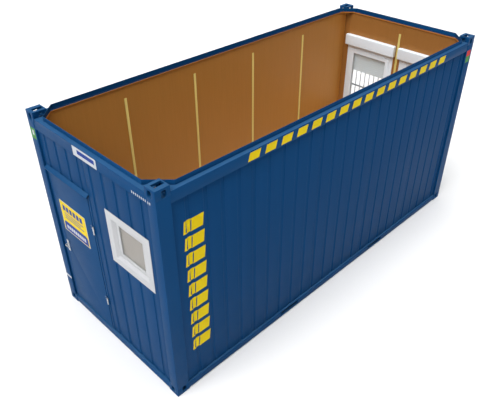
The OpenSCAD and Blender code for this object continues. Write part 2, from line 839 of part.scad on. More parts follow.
module front_window_glass() {
    mid = front_window_bottom + front_window_height / 2;
    color("lightgray", 0.5) on_front() translate([fw_mid, 0, mid])
        block([-front_glass_width / 2, front_glass_depth, -front_glass_height / 2],
            [front_glass_width / 2, front_glass_depth + pane_thickness, front_glass_height / 2]);
}

// ---- back windows ----

module in_back_windows() {
    on_back() for (s = [-1, 1]) translate([s * back_window_offset, 0, 0]) children();
}

module back_window_frames() {
    w = back_window_width / 2;
    p = frame_profile;
    color(white) in_back_windows() difference() {
        block([-w, back_frame_depth, back_window_bottom], [w, wall_depth + window_proud, bw_z1]);
        block([-w + p, 0, back_window_bottom + p], [w - p, 2 * wall_depth, bw_z1 - p]);
    }
}

module back_window_sashes() {
    w = back_window_width / 2 - frame_profile;
    p = sash_profile;
    z0 = back_window_bottom + frame_profile;
    z1 = bw_z1 - frame_profile;
    color(white) in_back_windows() difference() {
        block([-w, back_sash_depth, z0], [w, wall_depth + 2 * window_proud, z1]);
        block([-w + p, 0, z0 + p], [w - p, 2 * wall_depth, z1 - p]);
    }
}

module back_window_glass() {
    w = back_window_width / 2 - frame_profile - sash_profile;
    g = frame_profile + sash_profile;
    color("lightblue", 0.4) in_back_windows()
        block([-w, back_glass_depth, back_window_bottom + g],
            [w, back_glass_depth + pane_thickness, bw_z1 - g]);
}

module shutter_boxes() {
    w = back_window_width / 2;
    b = shutter_box_width / 2;
    color(white) in_back_windows() {
        block([-w, frame_face, bw_z1], [w, wall_depth, box_z1]);
        block([-b, wall_depth, bw_z1], [b, wall_depth + shutter_box_depth, box_z1]);
    }
}

module shutter_curtains() {
    w = back_window_width / 2 - guide_width + shutter_in_guide;
    color("gray") in_back_windows()
        block([-w, shutter_depth, bw_z1 - shutter_drop], [w, shutter_depth + shutter_thickness, bw_z1]);
}

module shutter_guides() {
    w = back_window_width / 2;
    inner = w - guide_width;
    c = guide_clearance;
    color(white) in_back_windows() for (s = [0, 1]) mirror([s, 0, 0]) difference() {
        block([inner, frame_face + guide_setback, back_window_bottom], [w, back_frame_depth, bw_z1]);
        block([inner - eps, shutter_depth - c, back_window_bottom - eps],
            [inner + shutter_in_guide, shutter_depth + shutter_thickness + c, bw_z1 + eps]);
    }
}

bottom_castings();
top_castings();
base_beam_front();
base_beam_back();
base_beam_left();
base_beam_right();
corner_posts();
top_beam_front();
top_beam_back();
top_beam_left();
top_beam_right();
ring_corners();
fork_pocket_plates();
fork_pocket_sides();
floor_joists();
floor_underside();
floor_board();
floor_covering();
left_wall_panels();
right_wall_panels();
front_wall_panels();
back_wall_panels();
left_wall_lining();
right_wall_lining();
front_wall_lining();
back_wall_lining();
cover_strips();
skirting();
door_frame();
door_sill();
door_leaf();
door_hood();
hinge_frame_halves();
hinge_leaf_halves();
handle_plates();
door_handle();
front_window_frame();
front_window_sash();
front_window_glass();
back_window_frames();
back_window_sashes();
back_window_glass();
shutter_boxes();
shutter_curtains();
shutter_guides();
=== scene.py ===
"""Finishes and fine detail of a steel cabin in container format, seen with its roof off.

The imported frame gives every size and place. The cabin stands on the floor with its door
end at -X. Along each side u runs to the right as seen from outside, d goes inwards from
the outer face of the frame, and z goes up.
"""

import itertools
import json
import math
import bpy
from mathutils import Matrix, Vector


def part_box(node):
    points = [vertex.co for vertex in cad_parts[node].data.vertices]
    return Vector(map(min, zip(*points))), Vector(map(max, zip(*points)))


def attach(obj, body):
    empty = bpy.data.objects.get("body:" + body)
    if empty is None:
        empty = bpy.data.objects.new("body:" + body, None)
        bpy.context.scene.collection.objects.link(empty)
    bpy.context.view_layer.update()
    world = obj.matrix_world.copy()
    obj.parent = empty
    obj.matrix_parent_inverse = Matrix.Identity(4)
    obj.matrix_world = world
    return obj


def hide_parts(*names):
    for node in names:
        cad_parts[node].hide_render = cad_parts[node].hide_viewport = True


bl_info = {
    "name": "Open-top cabin",
    "version": (1, 0, 0),
    "blender": (4, 5, 0),
    "location": "3D View > Sidebar > Cabin",
    "description": "Finishes and fine detail of a steel cabin in container format",
    "category": "Object",
}

import bmesh
import bpy
from mathutils import Matrix, Vector
from mathutils.bvhtree import BVHTree

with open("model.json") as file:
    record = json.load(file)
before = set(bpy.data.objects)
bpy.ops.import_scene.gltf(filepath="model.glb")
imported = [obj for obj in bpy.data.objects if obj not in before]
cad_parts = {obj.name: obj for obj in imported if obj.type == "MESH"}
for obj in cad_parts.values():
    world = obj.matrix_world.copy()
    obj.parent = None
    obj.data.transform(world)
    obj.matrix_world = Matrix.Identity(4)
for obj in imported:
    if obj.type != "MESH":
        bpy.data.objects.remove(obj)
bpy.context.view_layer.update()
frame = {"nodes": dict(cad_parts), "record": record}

OUTER_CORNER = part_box("bottom_castings")[1]
HALF_LENGTH = OUTER_CORNER.x
HALF_WIDTH = OUTER_CORNER.y
MM = 0.001
IDENTITY = Matrix.Identity(4)


# ---- sizes and colours a user may change ----


def length(name, default, description):
    """A size in metres for the sidebar."""
    return bpy.props.FloatProperty(
        name=name, default=default, min=0.0, unit="LENGTH", precision=4, description=description
    )


def colour(name, default, description):
    """A colour for the sidebar."""
    return bpy.props.FloatVectorProperty(
        name=name, default=default, size=3, min=0.0, max=1.0, subtype="COLOR", description=description
    )


class CabinSizes(bpy.types.PropertyGroup):
    """Sizes of the fine detail."""

    fold_radius: length("Fold radius", 0.004, "Outside radius of folded steel")
    casting_radius: length("Casting radius", 0.005, "Rounding of the corner castings")
    groove_radius: length("Groove radius", 0.004, "Rounding of the cladding's grooves")
    board_radius: length("Board radius", 0.001, "Rounding of boards and strips")
    plastic_radius: length("Plastic radius", 0.003, "Rounding of the window profiles")
    box_radius: length("Shutter box radius", 0.014, "Rounding of the shutter boxes")
    bar_pitch: length("Bar pitch", 0.094, "Distance between window bars")
    bar_diameter: length("Bar diameter", 0.014, "Thickness of a window bar")
    bar_depth: length("Bar depth", 0.016, "Depth of the bars behind the outer face")
    rail_height: length("Rail height", 0.030, "Height of the flat rails behind the window bars")
    middle_rail: length("Middle rail", 1.555, "Height of the middle rail above the ground")
    slat_pitch: length("Slat pitch", 0.037, "Height of one shutter slat")
    seal_width: length("Seal width", 0.005, "Width of the glazing seals")
    film: length("Film thickness", 0.0006, "How far a marking film stands proud")
    screw_radius: length("Screw radius", 0.004, "Radius of a screw head")
    weld_radius: length("Weld radius", 0.0035, "Radius of a weld bead")


class CabinColours(bpy.types.PropertyGroup):
    """Base colours of the finishes."""

    frame_blue: colour("Frame blue", (0.0046, 0.0515, 0.154), "Paint on the frame, door and castings")
    skin_blue: colour("Skin blue", (0.0048, 0.0495, 0.150), "Coating of the cladding")
    lining_brown: colour("Lining brown", (0.60, 0.275, 0.056), "Decor board on the long walls")
    # The lining brown darkened as painted shade, for the end walls, which get more light.
    end_brown_painted_shade: colour("End lining brown", (0.345, 0.150, 0.035), "Decor board on the end walls")
    strip_cream: colour("Strip", (1.0, 0.84, 0.27), "Cover strips and skirting")
    edge_orange: colour("Edge band", (0.46, 0.17, 0.03), "Edge band along the top of the lining")
    vinyl_grey: colour("Vinyl", (0.42, 0.41, 0.39), "Floor covering")
    board_tan: colour("Floor board", (0.45, 0.31, 0.17), "Raw edge of the floor board")
    zinc: colour("Zinc", (0.52, 0.54, 0.56), "Galvanised steel")
    bar_blue_grey: colour("Bar grey", (0.22, 0.27, 0.33), "Coating of the window bars")
    bright_metal: colour("Bright metal", (0.62, 0.62, 0.62), "Hinges, handles and screws")
    window_white: colour("Window white", (0.80, 0.885, 0.96), "Window profiles and shutter boxes")
    trim_white: colour("Trim white", (0.50, 0.505, 0.52), "Outside trim of the small window")
    rubber_black: colour("Rubber", (0.018, 0.018, 0.020), "Keyways of the lock")
    gasket_grey: colour("Gasket grey", (0.34, 0.36, 0.36), "Seals of the door and the windows")
    slat_grey: colour("Slat grey", (0.66, 0.77, 0.84), "Shutter slats")
    mark_yellow: colour("Marking yellow", (0.74, 0.55, 0.0), "Marking film")


def sizes():
    """The sizes set in the sidebar."""
    return bpy.context.scene.cabin_sizes


def colours():
    """The colours set in the sidebar."""
    return bpy.context.scene.cabin_colours


# ---- places ----

SIDES = {
    "left": Matrix.Translation((0, HALF_WIDTH, 0)) @ Matrix.Rotation(math.pi, 4, "Z"),
    "right": Matrix.Translation((0, -HALF_WIDTH, 0)),
    "front": Matrix.Translation((-HALF_LENGTH, 0, 0)) @ Matrix.Rotation(-math.pi / 2, 4, "Z"),
    "back": Matrix.Translation((HALF_LENGTH, 0, 0)) @ Matrix.Rotation(math.pi / 2, 4, "Z"),
}


def side_box(side, node):
    """A node's lowest and highest corners in u, d and z of one side."""
    corners = [SIDES[side].inverted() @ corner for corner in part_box(node)]
    low = Vector([min(c[i] for c in corners) for i in range(3)])
    high = Vector([max(c[i] for c in corners) for i in range(3)])
    return low, high


def points_of(node):
    """Every point of a CAD node's mesh."""
    return [vertex.co for vertex in frame["nodes"][node].data.vertices]


def one_solid_size(node, axis):
    """Size along an axis of one of a node's two like solids."""
    values = [point[axis] for point in points_of(node)]
    middle = (min(values) + max(values)) / 2
    return max(values) - min(value for value in values if value > middle)


def body_of(node):
    """The body that a CAD node rides on."""
    for body, members in frame["record"]["behaviour"]["bodies"].items():
        if node in members:
            return body
    raise RuntimeError("no body holds " + node)


# ---- mesh helpers ----


def block_into(bm, low, high, place=IDENTITY):
    """Adds a box between two corners."""
    low, high = Vector(low), Vector(high)
    shape = place @ Matrix.Translation((low + high) / 2) @ Matrix.Diagonal((*(high - low), 1))
    bmesh.ops.create_cube(bm, size=1, matrix=shape)


def rod_into(bm, start, end, radius, sides):
    """Adds a closed round rod between two points."""
    run = Vector(end) - Vector(start)
    turn = run.to_track_quat("Z", "Y").to_matrix().to_4x4()
    shape = Matrix.Translation((Vector(start) + Vector(end)) / 2) @ turn
    bmesh.ops.create_cone(
        bm, cap_ends=True, segments=sides, radius1=radius, radius2=radius, depth=run.length, matrix=shape
    )


def loft_into(bm, loops, capped=False):
    """Adds faces from each loop of points to the next, and caps the ends or joins them up."""
    rings = [[bm.verts.new(point) for point in loop] for loop in loops]
    after = rings[1:] if capped else rings[1:] + rings[:1]
    for first, second in zip(rings, after):
        for i in range(len(first)):
            j = (i + 1) % len(first)
            bm.faces.new((first[i], first[j], second[j], second[i]))
    if capped:
        bm.faces.new(rings[0])
        bm.faces.new(rings[-1])


def ring_into(bm, low, high, width, place):
    """Adds a picture-frame ring in u and z, between two corners, of a given width."""
    (u0, d0, z0), (u1, d1, z1) = low, high
    loops = []
    for d, inset in ((d0, 0), (d0, width), (d1, width), (d1, 0)):
        left, right, bottom, top = u0 + inset, u1 - inset, z0 + inset, z1 - inset
        corners = ((left, d, bottom), (right, d, bottom), (right, d, top), (left, d, top))
        loops.append([place @ Vector(corner) for corner in corners])
    loft_into(bm, loops)


def new_object(name, mesh):
    """Links a new object that holds the mesh."""
    piece = bpy.data.objects.new(name, mesh)
    bpy.context.scene.collection.objects.link(piece)
    return piece


def from_bmesh(name, bm, outward=True):
    """Turns a bmesh into a linked object with faces pointing outwards."""
    if outward:
        bmesh.ops.recalc_face_normals(bm, faces=bm.faces)
    mesh = bpy.data.meshes.new(name)
    bm.to_mesh(mesh)
    bm.free()
    return new_object(name, mesh)


def bake_modifiers(piece):
    """Replaces an object's mesh by what its modifiers make, and removes them."""
    graph = bpy.context.evaluated_depsgraph_get()
    mesh = bpy.data.meshes.new_from_object(
        piece.evaluated_get(graph), preserve_all_data_layers=True, depsgraph=graph
    )
    piece.modifiers.clear()
    piece.data = mesh
    mesh.name = piece.name


def round_edges(piece, radius, segments=2):
    """Rounds an object's sharp edges and keeps its flats flat."""
    bevel = piece.modifiers.new("round", "BEVEL")
    bevel.width = radius
    bevel.segments = segments
    bevel.limit_method = "ANGLE"
    bevel.angle_limit = math.radians(30.0)
    bevel.use_clamp_overlap = True
    bevel.harden_normals = True
    if segments > 1:
        piece.data.shade_smooth()
    bake_modifiers(piece)


def smooth_but_for(piece, degrees):
    """Shades an object smooth, but for edges sharper than an angle."""
    piece.data.shade_smooth()
    piece.data.set_sharp_from_angle(angle=math.radians(degrees))


def fit(piece, body, finish=None):
    """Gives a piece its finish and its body."""
    if finish is not None:
        piece.data.materials.clear()
        piece.data.materials.append(FINISHES[finish])
    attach(piece, body)
    return piece


def piece_from(name, bm, body, slot, finish, radius=0.0, segments=2, place=IDENTITY):
    """Turns a bmesh into a fitted piece in its place, with its edges rounded."""
    bm.transform(place)
    piece = from_bmesh(name, bm)
    if radius:
        round_edges(piece, radius, segments)
    return fit(piece, body, finish)


def boxes(name, side, corners, body, slot, finish, radius=0.0, segments=2):
    """A fitted piece of one side, made of boxes that are each given by two corners."""
    bm = bmesh.new()
    for low, high in corners:
        block_into(bm, low, high)
    return piece_from(name, bm, body, slot, finish, radius, segments, SIDES[side])


def softened(node, radius, finish, segments=2):
    """Stands a copy of a CAD node with rounded edges in its place."""
    bm = bmesh.new()
    bm.from_mesh(frame["nodes"][node].data)
    merge, flat = 0.02 * MM, math.radians(0.5)
    bmesh.ops.remove_doubles(bm, verts=bm.verts, dist=merge)
    bmesh.ops.dissolve_limit(bm, angle_limit=flat, verts=bm.verts, edges=bm.edges)
    piece = from_bmesh(node + "_rounded", bm, outward=False)
    round_edges(piece, radius, segments)
    fit(piece, body_of(node), finish)
    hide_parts(node)


def paint_node(node, finish):
    """Gives a CAD node that stays its finish."""
    piece = frame["nodes"][node]
    piece.data.materials.clear()
    piece.data.materials.append(FINISHES[finish])


# ---- node trees ----


class Tree:
    """A node tree that is built up node by node."""

    def node(self, kind, links=(), **settings):
        """Adds a node, sets its properties, and links or sets its inputs."""
        made = self.tree.nodes.new(kind)
        for key, value in settings.items():
            setattr(made, key, value)
        for socket, source in dict(links).items():
            if isinstance(source, bpy.types.NodeSocket):
                self.tree.links.new(source, made.inputs[socket])
            else:
                made.inputs[socket].default_value = source
        return made

    def math(self, operation, first, second=0.0):
        """A sum, product or other result of two numbers."""
        return self.node("ShaderNodeMath", {0: first, 1: second}, operation=operation).outputs[0]

    def times(self, first, second):
        """The product of two numbers."""
        return self.math("MULTIPLY", first, second)

    def vector(self, x=0.0, y=0.0, z=0.0):
        """A vector of three numbers."""
        return self.node("ShaderNodeCombineXYZ", {0: x, 1: y, 2: z}).outputs[0]

    def part(self, vector, axis):
        """One of the three numbers of a vector."""
        return self.node("ShaderNodeSeparateXYZ", {0: vector}).outputs["XYZ".index(axis)]


# ---- Geometry Nodes recipes ----


class Recipe(Tree):
    """A Geometry Nodes tree with named inputs, ending in realized instances with a finish."""

    def __init__(self, name, finish, **inputs):
        self.tree = bpy.data.node_groups.new(name, "GeometryNodeTree")
        face = self.tree.interface
        face.new_socket("Geometry", in_out="INPUT", socket_type="NodeSocketGeometry")
        for label, default in inputs.items():
            kind = "NodeSocketInt" if isinstance(default, int) else "NodeSocketFloat"
            face.new_socket(label, in_out="INPUT", socket_type=kind).default_value = default
        face.new_socket("Geometry", in_out="OUTPUT", socket_type="NodeSocketGeometry")
        self.start = self.tree.nodes.new("NodeGroupInput")
        self.finish = FINISHES[finish]

    def given(self, label, share=None):
        """The socket of a named input, or a share of it."""
        value = self.start.outputs[label]
        return value if share is None else self.times(value, share)

    def line(self, offset):
        """Points in a row, each an offset from the last."""
        links = {"Count": self.given("Count"), "Offset": offset}
        return self.node("GeometryNodeMeshLine", links, mode="OFFSET").outputs[0]

    def moved(self, geometry, **how):
        """Geometry that is moved or scaled."""
        return self.node("GeometryNodeTransform", {"Geometry": geometry, **how}).outputs[0]

    def random(self, kind, low, high):
        """Random values between two limits, from the input named Seed."""
        made = self.node("FunctionNodeRandomValue", {"Seed": self.given("Seed")}, data_type=kind)
        ends = [socket for socket in made.inputs if socket.enabled and socket.name in ("Min", "Max")]
        ends[0].default_value = low
        ends[1].default_value = high
        return next(socket for socket in made.outputs if socket.enabled)

    def close(self, points, shape, **how):
        """Sets the shape on each point, realizes it, gives it the finish and ends the tree."""
        copies = self.node("GeometryNodeInstanceOnPoints", {"Points": points, "Instance": shape, **how})
        real = self.node("GeometryNodeRealizeInstances", {"Geometry": copies.outputs[0]})
        done = self.node("GeometryNodeSetMaterial", {"Geometry": real.outputs[0]})
        done.inputs["Material"].default_value = self.finish
        self.tree.links.new(done.outputs[0], self.tree.nodes.new("NodeGroupOutput").inputs[0])
        return self.tree


def grow(name, tree, place=IDENTITY, points=((0, 0, 0),), edges=(), **inputs):
    """Runs a tree on points and edges and keeps the result as a plain mesh in its place."""
    mesh = bpy.data.meshes.new(name)
    mesh.from_pydata([tuple(point) for point in points], edges, [])
    piece = new_object(name, mesh)
    modifier = piece.modifiers.new("recipe", "NODES")
    modifier.node_group = tree
    for item in tree.interface.items_tree:
        if item.item_type == "SOCKET" and item.in_out == "INPUT" and item.name in inputs:
            modifier[item.identifier] = inputs[item.name]
    bake_modifiers(piece)
    piece.data.transform(place)
    return piece


def row_recipe(finish):
    """Round bars side by side along X, standing on Z = 0."""
    recipe = Recipe("window_bars", finish, Count=5, Pitch=0.1, Height=1.0, Radius=0.006)
    sizes_in = {"Vertices": 12, "Radius": recipe.given("Radius"), "Depth": recipe.given("Height")}
    bar = recipe.node("GeometryNodeMeshCylinder", sizes_in).outputs["Mesh"]
    lifted = recipe.moved(bar, Translation=recipe.vector(z=recipe.given("Height", 0.5)))
    return recipe.close(recipe.line(recipe.vector(recipe.given("Pitch"))), lifted)


def slat_recipe(finish):
    """Shutter slats hung one under the other from Z = 0, each a flattened round bar along X."""
    recipe = Recipe("shutter_slats", finish, Count=10, Pitch=0.037, Width=1.0, Depth=0.008, Lap=0.0)
    round_of = {"Resolution": 14, "Radius": 0.5}
    circle = recipe.node("GeometryNodeCurvePrimitiveCircle", round_of, mode="RADIUS")
    height = recipe.math("ADD", recipe.given("Pitch"), recipe.given("Lap"))
    oval = recipe.moved(circle.outputs[0], Scale=recipe.vector(recipe.given("Depth"), height, 1.0))
    start, end = (recipe.vector(recipe.given("Width", share)) for share in (-0.5, 0.5))
    rail = recipe.node("GeometryNodeCurvePrimitiveLine", {"Start": start, "End": end})
    slat = recipe.node(
        "GeometryNodeCurveToMesh", {"Curve": rail.outputs[0], "Profile Curve": oval, "Fill Caps": True}
    )
    return recipe.close(recipe.line(recipe.vector(z=recipe.given("Pitch", -1.0))), slat.outputs[0])


def screw_recipe(name, finish):
    """Domed screw heads with a cross recess, one on each point, facing -Y."""
    recipe = Recipe(name, finish, Radius=0.004, Seed=3)
    ball = recipe.node(
        "GeometryNodeMeshUVSphere", {"Segments": 16, "Rings": 8, "Radius": recipe.given("Radius")}
    )
    dome = recipe.moved(ball.outputs["Mesh"], Scale=(1.0, 0.45, 1.0))
    long_side, deep, short_side = (recipe.given("Radius", share) for share in (1.1, 0.5, 0.24))
    outer = recipe.vector(y=recipe.given("Radius", -0.5))
    head = recipe.node("GeometryNodeMeshBoolean", {"Mesh 1": dome}, operation="DIFFERENCE")
    for size in (recipe.vector(long_side, deep, short_side), recipe.vector(short_side, deep, long_side)):
        slot = recipe.node("GeometryNodeMeshCube", {"Size": size}).outputs["Mesh"]
        recipe.tree.links.new(recipe.moved(slot, Translation=outer), head.inputs["Mesh 2"])
    turn = recipe.random("FLOAT_VECTOR", (0, 0, 0), (0, math.pi, 0))
    return recipe.close(recipe.given("Geometry"), head.outputs[0], Rotation=turn)


def stripe_recipe(finish):
    """Slanted marking stripes in a row along X, as thin plates."""
    recipe = Recipe(
        "beam_stripes", finish, Count=10, Pitch=0.2, Width=0.12, Height=0.1, Lean=0.2, Film=0.001
    )
    size = recipe.vector(recipe.given("Width"), recipe.given("Film"), recipe.given("Height"))
    plate = recipe.node("GeometryNodeMeshCube", {"Size": size}).outputs["Mesh"]
    height = recipe.part(recipe.node("GeometryNodeInputPosition").outputs[0], "Z")
    shift = recipe.vector(recipe.times(height, recipe.given("Lean")))
    leaning = recipe.node("GeometryNodeSetPosition", {"Geometry": plate, "Offset": shift}).outputs[0]
    return recipe.close(recipe.line(recipe.vector(recipe.given("Pitch"))), leaning)


# Smallest and largest ripple of a weld bead, as shares of its size
RIPPLES = (0.85, 1.15)


def weld_recipe(finish):
    """Overlapping ripples of a weld bead along every edge of a mesh."""
    recipe = Recipe("weld_bead", finish, Radius=0.0035, Step=0.004, Seed=5)
    path = recipe.node("GeometryNodeMeshToCurve", {"Mesh": recipe.given("Geometry")}).outputs[0]
    steps = {"Curve": path, "Length": recipe.given("Step")}
    points = recipe.node("GeometryNodeCurveToPoints", steps, mode="LENGTH").outputs["Points"]
    ball = {"Radius": recipe.given("Radius"), "Subdivisions": 2}
    bead = recipe.node("GeometryNodeMeshIcoSphere", ball).outputs["Mesh"]
    return recipe.close(points, bead, Scale=recipe.random("FLOAT", *RIPPLES))


# ---- finishes ----

FINISHES = {}


def shaded(colour, factor):
    """A colour made lighter or darker."""
    return tuple(min(1.0, c * factor) for c in colour)


class Finish(Tree):
    """A procedural material with a Principled shader, patterned on Object coordinates."""

    def __init__(self, name, colour, roughness=0.5, metallic=0.0, **sockets):
        self.material = bpy.data.materials.new(name)
        self.material.use_nodes = True
        self.tree = self.material.node_tree
        self.shader = self.tree.nodes["Principled BSDF"]
        self.colour = (*colour, 1.0)
        self.shader.inputs["Base Color"].default_value = self.colour
        self.shader.inputs["Roughness"].default_value = roughness
        self.shader.inputs["Metallic"].default_value = metallic
        for label, value in sockets.items():
            self.shader.inputs[label.replace("_", " ")].default_value = value
        self.place = self.tree.nodes.new("ShaderNodeTexCoord").outputs["Object"]

    def noise(self, scale, detail=4.0, roughness=0.5, stretch=None):
        """Cloudy noise from 0 to 1, which may be stretched by a scale for each axis."""
        place = self.place
        if stretch:
            place = self.node("ShaderNodeMapping", {"Vector": place, "Scale": stretch}).outputs[0]
        links = {"Vector": place, "Scale": scale, "Detail": detail, "Roughness": roughness}
        return self.node("ShaderNodeTexNoise", links).outputs["Fac"]

    def cells(self, scale):
        """Random grey of each cell of a foam of cells."""
        made = self.node("ShaderNodeTexVoronoi", {"Vector": self.place, "Scale": scale})
        return self.node("ShaderNodeSeparateColor", {0: made.outputs["Color"]}).outputs[0]

    def spread(self, value, low, high, to_low=0.0, to_high=1.0):
        """A value taken from one range to another, and held there."""
        links = {"Value": value, "From Min": low, "From Max": high, "To Min": to_low, "To Max": to_high}
        return self.node("ShaderNodeMapRange", links).outputs[0]

    def facing(self, axis):
        """How far the surface faces along an axis, from -1 to 1."""
        return self.part(self.node("ShaderNodeNewGeometry").outputs["Normal"], axis)

    def tint(self, amount, shade):
        """Mixes a second colour over what is there, by an amount from 0 to 1."""
        mix = self.node("ShaderNodeMix", {0: amount}, data_type="RGBA")
        old = self.shader.inputs["Base Color"]
        if old.is_linked:
            self.tree.links.new(old.links[0].from_socket, mix.inputs[6])
        else:
            mix.inputs[6].default_value = self.colour
        mix.inputs[7].default_value = (*shade, 1.0)
        self.tree.links.new(mix.outputs[2], old)

    def mottle(self, value, low, high, most, factor):
        """Lightens or darkens the base colour by a factor, where a value rises from low to high."""
        self.tint(self.spread(value, low, high, 0.0, most), shaded(self.colour[:3], factor))

    def dust_and_sheen(self, where, patches, shade):
        """A shade in patches within a mask: dust, and on upward faces also a painted sheen."""
        self.tint(self.times(where, patches), shade)

    def rough(self, value, low, high):
        """Lets a value from 0 to 1 move the roughness between two limits."""
        self.tree.links.new(self.spread(value, 0.0, 1.0, low, high), self.shader.inputs["Roughness"])

    def bump(self, value, distance):
        """Adds surface relief of a real height in metres."""
        made = self.node("ShaderNodeBump", {"Height": value, "Distance": distance, "Strength": 1.0})
        self.tree.links.new(made.outputs[0], self.shader.inputs["Normal"])


def frame_paint(name, base):
    """Sprayed satin paint with orange peel, faint clouding, dust low down, and on upward faces dust with a
    painted sky sheen.
    """
    made = Finish(name, base, 0.42, Specular_IOR_Level=0.03)
    made.mottle(made.noise(1.4, 3.0), 0.35, 0.75, 0.35, 1.25)
    low_down = made.spread(made.part(made.place, "Z"), 0.9, 0.0, 0.0, 0.08)
    made.dust_and_sheen(low_down, made.spread(made.noise(9.0, 6.0), 0.45, 0.75), (0.12, 0.15, 0.17))
    # Lighter blue on upward faces: partly dust, partly a painted sheen of the sky.
    ledge_dust_and_sheen = made.spread(made.facing("Z"), 0.6, 0.95, 0.0, 0.14)
    made.dust_and_sheen(ledge_dust_and_sheen, made.spread(made.noise(3.0, 5.0), 0.2, 0.6, 0.6), (0.15, 0.28, 0.38))
    made.rough(made.noise(6.0, 5.0), 0.34, 0.5)
    made.bump(made.noise(260.0, 2.0), 0.25 * MM)
    return made


def skin_coating(name, base):
    """Smooth coil coating of the cladding, with faint rain streaks."""
    made = Finish(name, base, 0.4, Specular_IOR_Level=0.02)
    made.mottle(made.noise(1.0, 4.0, stretch=(14.0, 14.0, 0.9)), 0.5, 0.8, 0.15, 1.4)
    low_down = made.spread(made.part(made.place, "Z"), 1.1, 0.1, 0.0, 0.05)
    made.dust_and_sheen(low_down, made.spread(made.noise(5.0, 6.0), 0.4, 0.7), (0.15, 0.18, 0.21))
    made.rough(made.noise(4.0, 4.0), 0.33, 0.46)
    made.bump(made.noise(420.0, 2.0), 0.12 * MM)
    return made


def decor_board(name, base):
    """Oak-look decor board with upright grain, painted with the steel behind the castings."""
    made = Finish(name, base, Specular_IOR_Level=0.35)
    grain = made.noise(1.0, 7.0, 0.62, (34.0, 34.0, 1.3))
    fibre = made.noise(1.0, 3.0, 0.5, (210.0, 210.0, 5.0))
    made.mottle(grain, 0.38, 0.68, 0.22, 0.8)
    made.mottle(fibre, 0.5, 0.8, 0.12, 1.2)
    made.tint(behind_castings(made), colours().frame_blue)
    made.rough(grain, 0.42, 0.58)
    made.bump(fibre, 0.12 * MM)
    return made


def behind_castings(made):
    """A mask that is 1 in the space that a top casting takes up."""
    corners = points_of("top_castings")
    inside = 1.0
    for axis, start in (
        ("X", min(v.x for v in corners if v.x > 0)),
        ("Y", min(v.y for v in corners if v.y > 0)),
        ("Z", min(v.z for v in corners)),
    ):
        reach = made.math("ABSOLUTE", made.part(made.place, axis))
        inside = made.times(inside, made.spread(reach, start - 1 * MM, start))
    return inside


def strip_decor(name, base):
    """Pale wood-look strips with fine grain along their length, with painted shade on the end walls, which
    get more light.
    """
    made = Finish(name, base, Specular_IOR_Level=0.35)
    grain = made.noise(1.0, 6.0, 0.6, (90.0, 90.0, 3.0))
    made.mottle(grain, 0.4, 0.7, 0.2, 0.8)
    # Painted shade: faces that look along X are darkened to even out the light on the end walls.
    made.mottle(made.math("ABSOLUTE", made.facing("X")), 0.5, 0.9, 0.6, 0.45)
    made.bump(grain, 0.1 * MM)
    return made


def edge_band(name, base):
    """Orange edge band, smooth with fine grain."""
    made = Finish(name, base, Specular_IOR_Level=0.2)
    made.mottle(made.noise(1.0, 4.0, stretch=(8.0, 8.0, 90.0)), 0.4, 0.7, 0.2, 0.8)
    return made


def floor_vinyl(name, base):
    """Speckled vinyl floor covering with a light emboss."""
    made = Finish(name, base)
    made.mottle(made.cells(240.0), 0.7, 0.75, 0.5, 1.4)
    made.mottle(made.cells(170.0), 0.2, 0.16, 0.5, 0.55)
    made.mottle(made.noise(1.2, 3.0), 0.4, 0.7, 0.25, 0.85)
    made.bump(made.noise(700.0, 1.0), 0.1 * MM)
    return made


def chip_board(name, base):
    """Pressed wood chips of the floor board."""
    made = Finish(name, base, 0.8)
    made.mottle(made.cells(110.0), 0.3, 0.7, 0.6, 0.6)
    made.mottle(made.cells(190.0), 0.75, 0.8, 0.5, 1.45)
    made.bump(made.cells(150.0), 0.4 * MM)
    return made


def spangled(name, base, metallic):
    """Steel with the spangles of a zinc bath."""
    made = Finish(name, base, 0.45, metallic)
    flakes = made.cells(60.0)
    made.mottle(flakes, 0.0, 1.0, 0.5, 0.72)
    made.rough(flakes, 0.32, 0.55)
    made.bump(made.noise(180.0, 3.0), 0.1 * MM)
    return made


def brushed_metal(name, base):
    """Satin brushed metal of hinges and handles."""
    made = Finish(name, base, 0.3, 0.9)
    brush = made.noise(1.0, 4.0, 0.6, (900.0, 900.0, 40.0))
    made.mottle(brush, 0.4, 0.7, 0.35, 0.75)
    made.rough(brush, 0.22, 0.4)
    made.bump(brush, 0.04 * MM)
    return made


def white_plastic(name, base, gloss):
    """White window plastic, smooth with a faint ripple from the extruder."""
    made = Finish(name, base, 0.3, Specular_IOR_Level=gloss)
    made.mottle(made.noise(3.0, 3.0), 0.45, 0.75, 0.3, 0.93)
    made.rough(made.noise(20.0, 3.0), 0.26, 0.36)
    made.bump(made.noise(90.0, 2.0), 0.12 * MM)
    return made


def rubber(name, base):
    """Rubber, dull and faintly dusty."""
    made = Finish(name, base, 0.75)
    made.mottle(made.noise(60.0, 4.0), 0.5, 0.8, 0.5, 1.3)
    made.bump(made.noise(900.0, 2.0), 0.1 * MM)
    return made


def hazy_pane(name, base):
    """Obscured pane of the small window, which lets through only shadows."""
    made = Finish(name, base, 0.16, Alpha=0.72, IOR=1.45)
    made.tint(made.spread(made.noise(2.2, 3.0), 0.4, 0.7, 0.0, 0.5), (0.37, 0.355, 0.33))
    made.bump(made.noise(520.0, 2.0), 0.15 * MM)
    return made


def clear_pane(name, base):
    """Clear pane with a faint green tone and smears of dust."""
    made = Finish(name, base, 0.04, Alpha=0.14, IOR=1.45)
    made.rough(made.noise(7.0, 5.0), 0.02, 0.12)
    made.tint(made.spread(made.noise(3.0, 4.0), 0.5, 0.8, 0.0, 0.5), (0.9, 0.9, 0.88))
    return made


def slat_plastic(name, base):
    """Matt grey plastic of the shutter slats."""
    made = Finish(name, base, 0.55)
    made.mottle(made.noise(8.0, 3.0), 0.4, 0.7, 0.4, 0.88)
    made.bump(made.noise(300.0, 2.0), 0.1 * MM)
    return made


